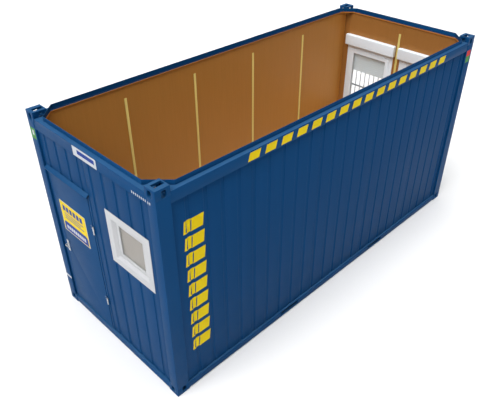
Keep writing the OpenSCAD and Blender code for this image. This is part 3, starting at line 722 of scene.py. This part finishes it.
def film(name, base):
    """Marking film, slightly uneven and a little faded."""
    made = Finish(name, base, 0.4, Specular_IOR_Level=0.06)
    made.mottle(made.noise(11.0, 4.0), 0.45, 0.75, 0.35, 0.85)
    made.rough(made.noise(30.0, 3.0), 0.32, 0.46)
    made.bump(made.noise(380.0, 2.0), 0.1 * MM)
    return made


def make_finishes():
    """Makes every finish once."""
    tones = colours()
    for name, make, *look in (
        ("frame_paint", frame_paint, tones.frame_blue),
        ("skin_coating", skin_coating, tones.skin_blue),
        ("lining_decor", decor_board, tones.lining_brown),
        ("end_lining_decor_painted_shade", decor_board, tones.end_brown_painted_shade),
        ("strip_decor", strip_decor, tones.strip_cream),
        ("edge_band", edge_band, tones.edge_orange),
        ("floor_vinyl", floor_vinyl, tones.vinyl_grey),
        ("chip_board", chip_board, tones.board_tan),
        ("zinc_coat", spangled, tones.zinc, 0.85),
        ("bar_coat", spangled, tones.bar_blue_grey, 0.2),
        ("brushed_metal", brushed_metal, tones.bright_metal),
        ("window_plastic", white_plastic, tones.window_white, 0.4),
        ("trim_plastic", white_plastic, tones.trim_white, 0.2),
        ("seal_rubber", rubber, tones.rubber_black),
        ("gasket", rubber, tones.gasket_grey),
        ("hazy_pane", hazy_pane, (0.34, 0.32, 0.29)),
        ("clear_pane", clear_pane, (0.80, 0.86, 0.84)),
        ("slat_plastic", slat_plastic, tones.slat_grey),
        ("yellow_film", film, tones.mark_yellow),
        ("white_film", film, (0.52, 0.54, 0.57)),
        ("blue_film", film, (0.003, 0.034, 0.24)),
        ("red_film", film, (0.55, 0.02, 0.02)),
        ("green_film", film, (0.06, 0.24, 0.05)),
        # Dark navy of the painted shadow on the ledge.
        ("ledge_shadow_navy", film, (0.003, 0.016, 0.05)),
    ):
        FINISHES[name] = make(name, *look).material


# ---- steel, walls and floor ----


class CABIN_OT_finishes(bpy.types.Operator):
    """Make the finishes of every piece"""

    bl_idname = "cabin.finishes"
    bl_label = "Finishes"

    def execute(self, context):
        make_finishes()
        return {"FINISHED"}


class CABIN_OT_steel_frame(bpy.types.Operator):
    """Round and paint the castings, posts, beams and ring corners, and weld them"""

    bl_idname = "cabin.steel_frame"
    bl_label = "Steel frame"

    def execute(self, context):
        for node in ("bottom_castings", "top_castings"):
            softened(node, sizes().casting_radius, "frame_paint", 3)
        sides = ("front", "back", "left", "right")
        beams = [level + "_beam_" + side for side in sides for level in ("base", "top")]
        for node in ("corner_posts", "ring_corners", *beams):
            softened(node, sizes().fold_radius, "frame_paint")
        self.weld_posts()
        return {"FINISHED"}

    def weld_posts(self):
        """Weld beads round the outside of each post, where it meets its castings."""
        low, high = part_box("corner_posts")
        inset = sizes().weld_radius * max(RIPPLES)
        x, y = HALF_LENGTH - inset, HALF_WIDTH - inset
        end_x = inset - side_box("right", "right_wall_panels")[0].x
        end_y = inset - side_box("back", "back_wall_panels")[0].x
        points, edges = [], []
        for sx, sy, z in itertools.product((-1, 1), (-1, 1), (low.z, high.z)):
            first = len(points)
            points += [(sx * end_x, sy * y, z), (sx * x, sy * y, z), (sx * x, sy * end_y, z)]
            edges += [(first, first + 1), (first + 1, first + 2)]
        tree = weld_recipe("frame_paint")
        welds = grow("post_welds", tree, points=points, edges=edges, Radius=sizes().weld_radius)
        welds.data.shade_smooth()
        fit(welds, "cabin")


class CABIN_OT_cladding(bpy.types.Operator):
    """Round the grooves of the cladding on all four sides"""

    bl_idname = "cabin.cladding"
    bl_label = "Cladding"

    def execute(self, context):
        for side in SIDES:
            softened(side + "_wall_panels", sizes().groove_radius, "skin_coating")
        return {"FINISHED"}


class CABIN_OT_floor(bpy.types.Operator):
    """Finish the joists, fork pockets, underside, floor board and covering"""

    bl_idname = "cabin.floor"
    bl_label = "Floor"

    def execute(self, context):
        for node in ("fork_pocket_plates", "fork_pocket_sides"):
            softened(node, 1 * MM, "frame_paint")
        for node, finish in (
            ("floor_joists", "zinc_coat"),
            ("floor_underside", "zinc_coat"),
            ("floor_board", "chip_board"),
            ("floor_covering", "floor_vinyl"),
        ):
            paint_node(node, finish)
        return {"FINISHED"}


class CABIN_OT_lining(bpy.types.Operator):
    """Finish the inside boards, cover strips and skirting, and add the trim along their top"""

    bl_idname = "cabin.lining"
    bl_label = "Lining"

    def execute(self, context):
        for side in SIDES:
            # The end walls take a darker copy of the decor as painted shade.
            finish = "lining_decor" if side in ("left", "right") else "end_lining_decor_painted_shade"
            softened(side + "_wall_lining", sizes().board_radius, finish, 1)
        for node in ("cover_strips", "skirting"):
            softened(node, sizes().board_radius * 1.5, "strip_decor")
        self.pin_strips()
        ring = points_of("ring_corners")
        inner = side_box("right", "top_beam_right")[1].y
        cut = max(HALF_LENGTH - abs(v.x) + HALF_WIDTH - abs(v.y) for v in ring)
        self.edge_band(inner, cut)
        self.ledge_shadow_strip(inner, cut)
        return {"FINISHED"}

    def pin_strips(self):
        """Small screws that hold the cover strips of the long walls."""
        tree = screw_recipe("strip_screw", "brushed_metal")
        low, high = side_box("right", "cover_strips")
        lining_low, lining_high = side_box("right", "right_wall_lining")
        boards, rows = 5, 5
        end_gap, strip_thickness = 0.1, 6 * MM
        pitch = (lining_high.x - lining_low.x) / boards
        step = (high.z - low.z - 2 * end_gap) / (rows - 1)
        points = [
            (lining_low.x + i * pitch, 0, low.z + end_gap + k * step)
            for i in range(1, boards)
            for k in range(rows)
        ]
        face = Matrix.Translation((0, lining_high.y + strip_thickness, 0))
        inwards = Matrix.Rotation(math.pi, 4, "Z")
        for side in ("right", "left"):
            place = SIDES[side] @ face @ inwards
            screws = grow("strip_screws_" + side, tree, place, points, Radius=3.2 * MM, Seed=7)
            fit(screws, "cabin")

    def edge_band(self, inner, cut):
        """Edge band all round the top of the lining, under the ring's inner lip."""
        lining_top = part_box("right_wall_lining")[1].z
        thickness, bottom, top = 6 * MM, lining_top - 3 * MM, lining_top + 16 * MM
        loops = []
        for inward, z in ((0, bottom), (thickness, bottom), (thickness, top), (0, top)):
            d, c = inner + inward, cut + inward * math.sqrt(2)
            corner = [(c - d, d), (d, c - d)]
            loops.append([
                (sx * (HALF_LENGTH - x), sy * (HALF_WIDTH - y), z)
                for sx, sy, order in ((-1, -1, 1), (-1, 1, -1), (1, 1, 1), (1, -1, -1))
                for x, y in corner[::order]
            ])
        bm = bmesh.new()
        loft_into(bm, loops)
        band = piece_from("lining_edge_band", bm, "cabin", "lining", "edge_band", 1.5 * MM, 1)
        self.paint_corners(band)

    def paint_corners(self, band):
        """Paints the faces of the band that look outwards at the ring's cut corners."""
        band.data.materials.append(FINISHES["frame_paint"])
        straight_on = 1.2
        for face in band.data.polygons:
            outward = Vector((math.copysign(1, face.center.x), math.copysign(1, face.center.y), 0))
            if face.normal.dot(outward) > straight_on:
                face.material_index = 1

    def ledge_shadow_strip(self, inner, cut):
        """Dark strip along the ledge between the ring's upstand and its inner lip, a painted shadow on the
        ledge.
        """
        ledge = max(v.z for v in points_of("top_beam_right") if v.y > inner - HALF_WIDTH - 1 * MM)
        width, gap, thickness = 35 * MM, 2 * MM, 2 * MM
        bm = bmesh.new()
        for side in ("right", "left", "front", "back"):
            half = HALF_LENGTH if side in ("right", "left") else HALF_WIDTH
            end = half - cut + inner - width - gap
            block_into(bm, (-end, inner - width, ledge), (end, inner - gap, ledge + thickness), SIDES[side])
        # Painted shadow: a thin dark strip laid where the ledge lies in shade.
        piece_from("ledge_shadow_strip", bm, "cabin", "vinyl", "ledge_shadow_navy", 0.6 * MM)


# ---- door and its fittings ----


class CABIN_OT_door(bpy.types.Operator):
    """Finish the door leaf, frame, sill and hood, and add the seal"""

    bl_idname = "cabin.door"
    bl_label = "Door"

    def execute(self, context):
        softened("door_leaf", 3 * MM, "frame_paint", 3)
        softened("door_frame", 2.5 * MM, "frame_paint")
        softened("door_hood", 1.5 * MM, "frame_paint")
        softened("door_sill", 1 * MM, "zinc_coat")
        self.seal()
        return {"FINISHED"}

    def seal(self):
        """Rubber seal on the frame's stop, just behind the closed leaf."""
        leaf_low, leaf_high = side_box("front", "door_leaf")
        clearance, overlap, thickness, gap, sill_gap = 4 * MM, 14 * MM, 6 * MM, 1 * MM, 8 * MM
        d0 = leaf_high.y + gap
        d1 = d0 + thickness
        u0, u1 = leaf_low.x + clearance, leaf_high.x - clearance
        z0, z1 = side_box("front", "door_frame")[0].z + sill_gap, leaf_high.z - clearance
        strips = (
            ((u0, d0, z0), (u0 + overlap, d1, z1)),
            ((u1 - overlap, d0, z0), (u1, d1, z1)),
            ((u0 + overlap, d0, z1 - overlap), (u1 - overlap, d1, z1)),
        )
        boxes("door_seal", "front", strips, "cabin", "vinyl", "gasket", 2 * MM, 3)


class CABIN_OT_ironmongery(bpy.types.Operator):
    """Finish the hinges, handle plates and lever, and add their screws and lock cylinder"""

    bl_idname = "cabin.ironmongery"
    bl_label = "Hinges and handle"

    def execute(self, context):
        for node in ("hinge_frame_halves", "hinge_leaf_halves"):
            softened(node, 1 * MM, "frame_paint")
        self.sleeves()
        softened("handle_plates", 3 * MM, "brushed_metal", 3)
        self.lever()
        self.lock_cylinder()
        self.screws()
        return {"FINISHED"}

    def sleeves(self):
        """Bright sleeves round the knuckles of both hinges."""
        pin = Vector(frame["record"]["behaviour"]["joints"][0]["pos_m"])
        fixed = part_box("hinge_frame_halves")
        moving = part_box("hinge_leaf_halves")
        knuckle = one_solid_size("hinge_leaf_halves", 2)
        apart = moving[1].z - moving[0].z - knuckle
        sleeve_wall = 0.4 * MM
        radius = pin.x - fixed[0].x + sleeve_wall
        for name, body, bottom in (("frame", "cabin", fixed[0].z), ("leaf", "door", moving[0].z)):
            bm = bmesh.new()
            for z in (bottom, bottom + apart):
                rod_into(bm, (pin.x, pin.y, z), (pin.x, pin.y, z + knuckle), radius, 32)
            piece_from("hinge_sleeves_" + name, bm, body, "bare_metal", "brushed_metal", 0.8 * MM)

    def lever(self):
        """Lever with a round neck that bends into a slightly flattened grip, outside and inside."""
        low, high = side_box("front", "door_handle")
        radius = (high.z - low.z) / 2
        neck = low.x + radius
        outer, inner = low.y + radius, high.y - radius
        bend, bend_start, tip_length = 12 * MM, 16 * MM, 8 * MM
        bend_steps, grip_steps = 6, 8
        grip_start = neck + bend
        grip = high.x - tip_length - grip_start
        bm = bmesh.new()
        for depth, turn in ((outer, 1), (inner, -1)):
            path = [(neck, (outer + inner) / 2), (neck, depth + turn * bend_start)]
            for k in range(1, bend_steps + 1):
                angle = math.pi / 2 * k / bend_steps
                u, d = bend * (1 - math.cos(angle)), bend * (1 - math.sin(angle))
                path.append((neck + u, depth + turn * d))
            path += [(grip_start + grip * k / grip_steps, depth) for k in range(1, grip_steps + 1)]
            loft_into(bm, self.ovals(path, radius, (high.z + low.z) / 2), capped=True)
        look = ("handle", "handle_metal", "brushed_metal")
        piece = piece_from("lever_handle", bm, *look, place=SIDES["front"])
        piece.data.shade_smooth()
        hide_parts("door_handle")

    def ovals(self, path, radius, z):
        """Oval sections across a path in u and d, flatter along it and closing at the tip."""
        count, sides = len(path), 20
        fullness, narrowing, thinning, bluntness = 0.92, 0.12, 0.02, 0.02
        loops = []
        for i, (u, d) in enumerate(path):
            before, after = path[max(i - 1, 0)], path[min(i + 1, count - 1)]
            run = Vector((after[0] - before[0], after[1] - before[1])).normalized()
            near_tip = max(0.0, (i - (count - 3)) / 2.0)
            rounding = radius * math.sqrt(max(0.0, 1 - near_tip**2) + bluntness)
            wide = rounding * (fullness - narrowing * i / count)
            high = rounding * (fullness - thinning * i / count)
            loop = []
            for k in range(sides):
                angle = 2 * math.pi * k / sides
                across = wide * math.cos(angle)
                loop.append((u - run.y * across, d + run.x * across, z + high * math.sin(angle)))
            loops.append(loop)
        return loops

    def lock_cylinder(self):
        """Profile cylinder with a keyhole, under the lever on both plates."""
        low, high = side_box("front", "handle_plates")
        u = (low.x + high.x) / 2
        share_of_height = 0.24
        z = low.z + (high.z - low.z) * share_of_height
        radius, half_width, body_top, body_bottom = 8.5 * MM, 5 * MM, z - 6 * MM, z - 22 * MM
        sunk, proud, key_width, key_height = 1 * MM, 2.5 * MM, 2 * MM, 8 * MM
        key_start, key_end = proud - 0.5 * MM, proud + 0.3 * MM
        bm, keyways = bmesh.new(), []
        for face, out in ((low.y, -1), (high.y, 1)):
            d0, d1 = sorted((face - out * sunk, face + out * proud))
            rod_into(bm, (u, d0, z), (u, d1, z), radius, 28)
            block_into(bm, (u - half_width, d0, body_bottom), (u + half_width, d1, body_top))
            d0, d1 = sorted((face + out * key_start, face + out * key_end))
            start = (u - key_width / 2, d0, z - key_height / 2)
            keyways.append((start, (u + key_width / 2, d1, z + key_height / 2)))
        look = ("door", "handle_metal", "brushed_metal", 0.6 * MM)
        piece_from("lock_cylinders", bm, *look, place=SIDES["front"])
        boxes("keyways", "front", keyways, "door", "handle_metal", "seal_rubber")

    def screws(self):
        """Screws of the handle plates and the hinge leaves."""
        tree = screw_recipe("plate_screw", "brushed_metal")
        low, high = side_box("front", "handle_plates")
        middle, end_gap = (low.x + high.x) / 2, 12 * MM
        points = [(middle, low.y, low.z + end_gap), (middle, low.y, high.z - end_gap)]
        low, high = side_box("front", "hinge_leaf_halves")
        knuckle = one_solid_size("hinge_leaf_halves", 2)
        flap_thickness, edge_gap = 4 * MM, 14 * MM
        flap_face = side_box("front", "door_leaf")[0].y - flap_thickness
        for base, share in itertools.product((low.z, high.z - knuckle), (0.2, 0.8)):
            points.append((low.x + edge_gap, flap_face, base + knuckle * share))
        screws = grow("door_screws", tree, SIDES["front"], points, Radius=sizes().screw_radius)
        fit(screws, "door")


# ---- windows and shutters ----


def glazing(name, side, panes, sash_front, white):
    """Seals against both faces of each pane, and slim beads that cover them."""
    seal_depth, bead_width, bead_setback, bead_gap = 4 * MM, 3.6 * MM, 1 * MM, 5 * MM
    seals, beads = bmesh.new(), bmesh.new()
    for low, high in panes:
        for d0, d1 in ((low.y - seal_depth, low.y), (high.y, high.y + seal_depth)):
            ring_into(seals, (low.x, d0, low.z), (high.x, d1, high.z), sizes().seal_width, SIDES[side])
        front, back = sash_front + bead_setback, low.y - bead_gap
        ring_into(beads, (low.x, front, low.z), (high.x, back, high.z), bead_width, SIDES[side])
    piece_from(name + "_seals", seals, "cabin", "vinyl", "gasket", 0.8 * MM)
    piece_from(name + "_beads", beads, "cabin", "window_plastic", white, 0.8 * MM)


def pair_middles(node):
    """The middles along the back wall of a node's two like solids, and their width."""
    low, high = side_box("back", node)
    width = one_solid_size(node, 1)
    offset = (high.x - low.x - width) / 2
    return (-offset, offset), width


class CABIN_OT_front_window(bpy.types.Operator):
    """Finish the small window with its trim, sash, beads, seals and pane"""

    bl_idname = "cabin.front_window"
    bl_label = "Small window"

    def execute(self, context):
        for node in ("front_window_frame", "front_window_sash"):
            softened(node, sizes().plastic_radius, "trim_plastic", 3)
        paint_node("front_window_glass", "hazy_pane")
        pane = side_box("front", "front_window_glass")
        sash_front = side_box("front", "front_window_sash")[0].y
        glazing("front_window", "front", [pane], sash_front, "trim_plastic")
        return {"FINISHED"}


class CABIN_OT_back_windows(bpy.types.Operator):
    """Finish the two back windows with their seals, panes and bars"""

    bl_idname = "cabin.back_windows"
    bl_label = "Back windows"

    def execute(self, context):
        for node in ("back_window_frames", "back_window_sashes"):
            softened(node, sizes().plastic_radius, "window_plastic", 3)
        paint_node("back_window_glass", "clear_pane")
        low, high = side_box("back", "back_window_glass")
        middles, width = pair_middles("back_window_glass")
        panes = [
            (Vector((u - width / 2, low.y, low.z)), Vector((u + width / 2, high.y, high.z))) for u in middles
        ]
        sash_front = side_box("back", "back_window_sashes")[0].y
        glazing("back_window", "back", panes, sash_front, "window_plastic")
        self.bars()
        return {"FINISHED"}

    def bars(self):
        """Round upright bars on three flat rails, in front of each back window."""
        tree = row_recipe("bar_coat")
        low, high = side_box("back", "back_window_frames")
        middles, width = pair_middles("back_window_frames")
        pitch, radius = sizes().bar_pitch, sizes().bar_diameter / 2
        rail_depth, rail_half = 4 * MM, sizes().rail_height / 2
        end_gap, side_gap, rail_gap, rail_reach = 20 * MM, 30 * MM, 60 * MM, width / 2 + 10 * MM
        z0, z1 = low.z + end_gap, high.z - end_gap
        count = int((width - 2 * side_gap) / pitch)
        back = sizes().bar_depth + radius
        for name, middle in zip(("left", "right"), middles):
            start = middle - (count - 1) * pitch / 2
            place = SIDES["back"] @ Matrix.Translation((start, sizes().bar_depth, z0))
            bars = grow(
                "window_bars_" + name, tree, place, Count=count, Pitch=pitch, Height=z1 - z0, Radius=radius
            )
            smooth_but_for(bars, 40)
            fit(bars, "cabin")
            left, right = middle - rail_reach, middle + rail_reach
            rails = [
                ((left, back - rail_depth, z - rail_half), (right, back, z + rail_half))
                for z in (z0 + rail_gap, sizes().middle_rail, z1 - rail_gap)
            ]
            boxes("bar_rails_" + name, "back", rails, "cabin", "floor_steel", "bar_coat", 1 * MM)


class CABIN_OT_shutters(bpy.types.Operator):
    """Finish the shutter boxes and guides, and hang the slats"""

    bl_idname = "cabin.shutters"
    bl_label = "Roller shutters"

    def execute(self, context):
        softened("shutter_boxes", sizes().box_radius, "window_plastic", 4)
        softened("shutter_guides", 1.5 * MM, "window_plastic")
        low, high = side_box("back", "shutter_curtains")
        middles, width = pair_middles("shutter_curtains")
        self.slats(low, high, middles, width)
        proud, rail_height = 1 * MM, 26 * MM
        d0, d1, z1 = low.y - proud, high.y + proud, low.z + rail_height
        rails = [((u - width / 2, d0, low.z), (u + width / 2, d1, z1)) for u in middles]
        boxes("shutter_end_rails", "back", rails, "cabin", "shutter_plastic", "slat_plastic", 2 * MM, 3)
        return {"FINISHED"}

    def slats(self, low, high, middles, width):
        """The slats of both curtains, each lapped a little over the next."""
        tree = slat_recipe("slat_plastic")
        pitch, lap = sizes().slat_pitch, 0.4 * MM
        count = int((high.z - low.z) / pitch)
        bm = bmesh.new()
        for middle in middles:
            top = Matrix.Translation((middle, (low.y + high.y) / 2, high.z - pitch / 2))
            curtain = grow(
                "slats", tree, SIDES["back"] @ top,
                Count=count, Pitch=pitch, Width=width, Depth=high.y - low.y, Lap=lap,
            )
            bm.from_mesh(curtain.data)
            bpy.data.objects.remove(curtain)
        slats = from_bmesh("shutter_slats", bm)
        smooth_but_for(slats, 50)
        fit(slats, "cabin", "slat_plastic")
        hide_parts("shutter_curtains")


# ---- markings ----

# Thickness of one printed layer of a plate or a row of blocks
PRINT = 0.5 * MM


def plate(name, side, corners, depth, finish, thickness, body="cabin"):
    """A thin plate with rounded edges, from u0, z0 to u1, z1, standing on a face at a depth."""
    u0, z0, u1, z1 = corners
    box = ((u0, depth - thickness, z0), (u1, depth, z1))
    boxes(name, side, [box], body, "window_plastic", finish, 0.45 * thickness)


def blocks(name, corners, count, depth, finish, body="door", fill=0.74):
    """A row of plain blocks at the door end, from u0, z0 to u1, z1."""
    u0, z0, u1, z1 = corners
    step = (u1 - u0) / count
    starts = [u0 + k * step for k in range(count)]
    row = [((u, depth - PRINT, z0), (u + fill * step, depth, z1)) for u in starts]
    boxes(name, "front", row, body, "window_plastic", finish)


class CABIN_OT_markings(bpy.types.Operator):
    """Lay plain yellow stripes and small plates where the cabin carries its marks"""

    bl_idname = "cabin.markings"
    bl_label = "Markings"

    def execute(self, context):
        self.beam_stripes()
        self.wall_stripes()
        self.door_plate()
        self.small_plates()
        return {"FINISHED"}

    def beam_stripes(self):
        """A row of slanted yellow stripes along the right top beam."""
        low = side_box("right", "top_beam_right")[0]
        count, first, last = 16, 1.29 - HALF_LENGTH, 5.13 - HALF_LENGTH
        middle = (low.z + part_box("ring_corners")[0].z) / 2 + 2 * MM
        place = SIDES["right"] @ Matrix.Translation((first, low.y - sizes().film / 2, middle))
        stripes = grow(
            "beam_stripes", stripe_recipe("yellow_film"), place,
            Count=count, Pitch=(last - first) / (count - 1), Width=0.165, Height=0.098, Lean=0.3,
            Film=sizes().film,
        )
        fit(stripes, "cabin")

    def wall_stripes(self):
        """A column of leaning yellow bars on the right wall, which follow the grooves."""
        wall = bpy.data.objects["right_wall_panels_rounded"]
        tree = BVHTree.FromObject(wall, bpy.context.evaluated_depsgraph_get())
        count, pitch, height = 9, 0.214, 0.155
        first, width, top = 0.30 - HALF_LENGTH, 0.26, 2.44
        steps, lean = 130, 0.125
        bm = bmesh.new()
        for k in range(count):
            z1 = top - k * pitch
            rows = []
            for z in (z1 - height, z1):
                shift = lean * (z - z1 + height)
                row = []
                for i in range(steps + 1):
                    u = first + width * i / steps + shift
                    hit = tree.ray_cast(Vector((u, -HALF_WIDTH - 0.1, z)), Vector((0, 1, 0)))[0]
                    if hit is None:
                        raise RuntimeError("a wall stripe misses the wall")
                    row.append(bm.verts.new((u, hit.y - sizes().film, z)))
                rows.append(row)
            for i in range(steps):
                bm.faces.new((rows[0][i], rows[0][i + 1], rows[1][i + 1], rows[1][i]))
        stripes = from_bmesh("wall_stripes", bm, outward=False)
        thick = stripes.modifiers.new("film", "SOLIDIFY")
        thick.thickness = sizes().film * 1.5
        thick.offset = -1
        bake_modifiers(stripes)
        fit(stripes, "cabin", "yellow_film")

    def door_plate(self):
        """White-edged yellow plate with a blue band, on the door leaf."""
        edge_thickness, rim = 1.2 * MM, 7 * MM
        face = side_box("front", "door_leaf")[0].y
        field = face - edge_thickness
        ink = field - PRINT
        u0, u1, z0, z1 = 0.301 - HALF_WIDTH, 0.888 - HALF_WIDTH, 1.385, 1.850
        height, line_height = (z1 - z0) / MM, 13

        def inside(left, bottom, right, top):
            """Corners at distances in millimetres from the plate's four edges."""
            return u0 + left * MM, z0 + bottom * MM, u1 - right * MM, z1 - top * MM

        plate("door_plate_edge", "front", (u0, z0, u1, z1), face, "white_film", edge_thickness, "door")
        field_corners = (u0 + rim, z0 + rim, u1 - rim, z1 - rim)
        plate("door_plate_field", "front", field_corners, field, "yellow_film", PRINT, "door")
        self.rounded_band("door_plate_band", inside(24, 14, 24, 307), ink)
        blocks("door_plate_blocks", inside(60, 330, 60, 55), 6, ink, "blue_film")
        blocks("door_plate_small_blocks", inside(70, 50, 70, 361), 9, ink - PRINT, "white_film")
        for number, right, top in ((1, 75, 165), (2, 135, 200), (3, 75, 235)):
            corners = inside(75, height - top - line_height, right, top)
            plate("door_plate_line_%d" % number, "front", corners, ink, "blue_film", PRINT, "door")

    def rounded_band(self, name, corners, depth):
        """A blue band whose upper corners are rounded."""
        u0, z0, u1, z1 = corners
        radius, steps = 42 * MM, 8
        outline = [(u0, z0), (u1, z0)]
        for middle, start in ((u1 - radius, 0.0), (u0 + radius, math.pi / 2)):
            for k in range(steps + 1):
                angle = start + math.pi / 2 * k / steps
                outline.append((middle + radius * math.cos(angle), z1 - radius + radius * math.sin(angle)))
        bm = bmesh.new()
        loft_into(bm, [[(u, d, z) for u, z in outline] for d in (depth, depth - PRINT)], capped=True)
        piece_from(name, bm, "door", "window_plastic", "blue_film", place=SIDES["front"])

    def small_plates(self):
        """Plain plates and blocks on the front beam, and labels on the posts."""
        low = side_box("front", "top_beam_front")[0]
        left, face, post_edge = -HALF_WIDTH, low.y, -low.x
        corners = (left + 0.98, 2.757, left + 1.435, 2.875)
        plate("beam_plate", "front", corners, face, "white_film", 1 * MM)
        corners = (left + 1.07, 2.8, left + 1.4, 2.85)
        plate("beam_plate_band", "front", corners, face - 1 * MM, "blue_film", PRINT)
        bottom, top, fill = 2.770, 2.799, 0.42
        corners = (0.825, bottom, post_edge - 8 * MM, top)
        blocks("beam_blocks", corners, 8, face, "white_film", "cabin", fill)
        corners = (post_edge + 6 * MM, bottom, 1.145, top)
        blocks("post_blocks", corners, 2, 0, "white_film", "cabin", fill)
        thin = 0.15 * MM
        right = HALF_LENGTH
        for name, side, colour_name, depth, corners in (
            ("left_post_label_mark", "front", "white", -thin, (left + 0.045, 2.65, left + 0.088, 2.715)),
            ("left_post_label", "front", "green", 0, (left + 0.012, 2.6, left + 0.12, 2.745)),
            ("right_post_red_label", "right", "red", 0, (right - 0.145, 2.66, right - 0.035, 2.75)),
            ("right_post_green_label", "right", "green", 0, (right - 0.145, 2.56, right - 0.035, 2.66)),
            ("post_strip", "front", "white", 0, (left + 0.004, 0.418, left + 0.135, 0.456)),
        ):
            plate(name, side, corners, depth, colour_name + "_film", thin)


# ---- stage ----


class CABIN_OT_stage(bpy.types.Operator):
    """Set up the pale floor, the backdrop, the soft light and the camera"""

    bl_idname = "cabin.stage"
    bl_label = "Stage"

    def execute(self, context):
        daylight = (0.96, 0.98, 1.0, 1.0)
        self.floor()
        self.backdrop(daylight)
        self.light(context.scene, daylight)
        self.camera(context.scene)
        return {"FINISHED"}

    def floor(self):
        """Plain pale floor under the cabin."""
        bm = bmesh.new()
        bmesh.ops.create_grid(bm, x_segments=1, y_segments=1, size=150.0)
        floor = from_bmesh("studio_floor", bm)
        pale = Finish("studio_floor", (0.80, 0.80, 0.80), 0.9, Specular_IOR_Level=0.0)
        pale.tint(pale.spread(pale.noise(0.4, 2.0), 0.4, 0.7, 0.0, 0.3), (0.82, 0.82, 0.82))
        floor.data.materials.append(pale.material)

    def backdrop(self, daylight):
        """Pale backdrop all round, seen from low down and out of the way of the light."""
        radius, height, glow = 140.0, 160.0, 0.92
        bm = bmesh.new()
        bmesh.ops.create_cone(bm, cap_ends=False, segments=96, radius1=radius, radius2=radius, depth=height)
        wall = from_bmesh("studio_backdrop", bm, outward=False)
        pale = Finish("studio_backdrop", (0.0, 0.0, 0.0), 1.0, Specular_IOR_Level=0.0)
        pale.shader.inputs["Emission Color"].default_value = daylight
        pale.shader.inputs["Emission Strength"].default_value = glow
        wall.data.materials.append(pale.material)
        for ray in ("diffuse", "glossy", "transmission", "shadow"):
            setattr(wall, "visible_" + ray, False)

    def light(self, scene, daylight):
        """White surroundings, a soft key from the door end and a soft light from above."""
        world = bpy.data.worlds.new("studio")
        world.use_nodes = True
        background = world.node_tree.nodes["Background"]
        background.inputs["Color"].default_value = daylight
        background.inputs["Strength"].default_value = 0.215
        scene.world = world
        scene.view_settings.view_transform = "Standard"
        for name, aim, strength, angle in (
            ("key", (0.60, 0.03, -0.80), 2.3, 40.0),
            ("above", (0.05, 0.04, -1.0), 2.5, 60.0),
        ):
            data = bpy.data.lights.new(name, "SUN")
            data.energy = strength
            data.angle = math.radians(angle)
            lamp = bpy.data.objects.new(name, data)
            lamp.rotation_euler = Vector(aim).to_track_quat("-Z", "Y").to_euler()
            scene.collection.objects.link(lamp)

    def camera(self, scene):
        """Camera above the near corner, looking down over the open top."""
        data = bpy.data.cameras.new("camera")
        data.lens = 40.508
        data.sensor_width = 36.0
        data.shift_x = -0.0006
        data.shift_y = 0.01185
        data.clip_end = 200.0
        camera = bpy.data.objects.new("camera", data)
        camera.location = (-5.38394, -4.79536, 5.77888)
        camera.rotation_euler = Vector((1, 1, -1)).to_track_quat("-Z", "Y").to_euler()
        scene.collection.objects.link(camera)
        scene.camera = camera


# ---- panel and registration ----

STEPS = (
    CABIN_OT_finishes, CABIN_OT_steel_frame, CABIN_OT_cladding, CABIN_OT_floor, CABIN_OT_lining,
    CABIN_OT_door, CABIN_OT_ironmongery, CABIN_OT_front_window, CABIN_OT_back_windows,
    CABIN_OT_shutters, CABIN_OT_markings, CABIN_OT_stage,
)


class CABIN_PT_panel(bpy.types.Panel):
    """Sidebar panel with the cabin's steps, sizes and colours"""

    bl_label = "Open-top cabin"
    bl_idname = "CABIN_PT_panel"
    bl_space_type = "VIEW_3D"
    bl_region_type = "UI"
    bl_category = "Cabin"

    def draw(self, context):
        for step in STEPS:
            self.layout.operator(step.bl_idname)
        for group in (context.scene.cabin_sizes, context.scene.cabin_colours):
            box = self.layout.box()
            for name in group.bl_rna.properties.keys():
                if name not in ("rna_type", "name"):
                    box.prop(group, name)


CLASSES = (CabinSizes, CabinColours, *STEPS, CABIN_PT_panel)


def register():
    """Registers the classes and the scene's settings."""
    for cls in CLASSES:
        bpy.utils.register_class(cls)
    bpy.types.Scene.cabin_sizes = bpy.props.PointerProperty(type=CabinSizes)
    bpy.types.Scene.cabin_colours = bpy.props.PointerProperty(type=CabinColours)


def unregister():
    """Removes the settings and the classes."""
    del bpy.types.Scene.cabin_colours
    del bpy.types.Scene.cabin_sizes
    for cls in reversed(CLASSES):
        bpy.utils.unregister_class(cls)


def main():
    """Builds the cabin's looks step by step."""
    register()
    for step in STEPS:
        family, name = step.bl_idname.split(".")
        getattr(getattr(bpy.ops, family), name)()


if __name__ == "__main__":
    main()
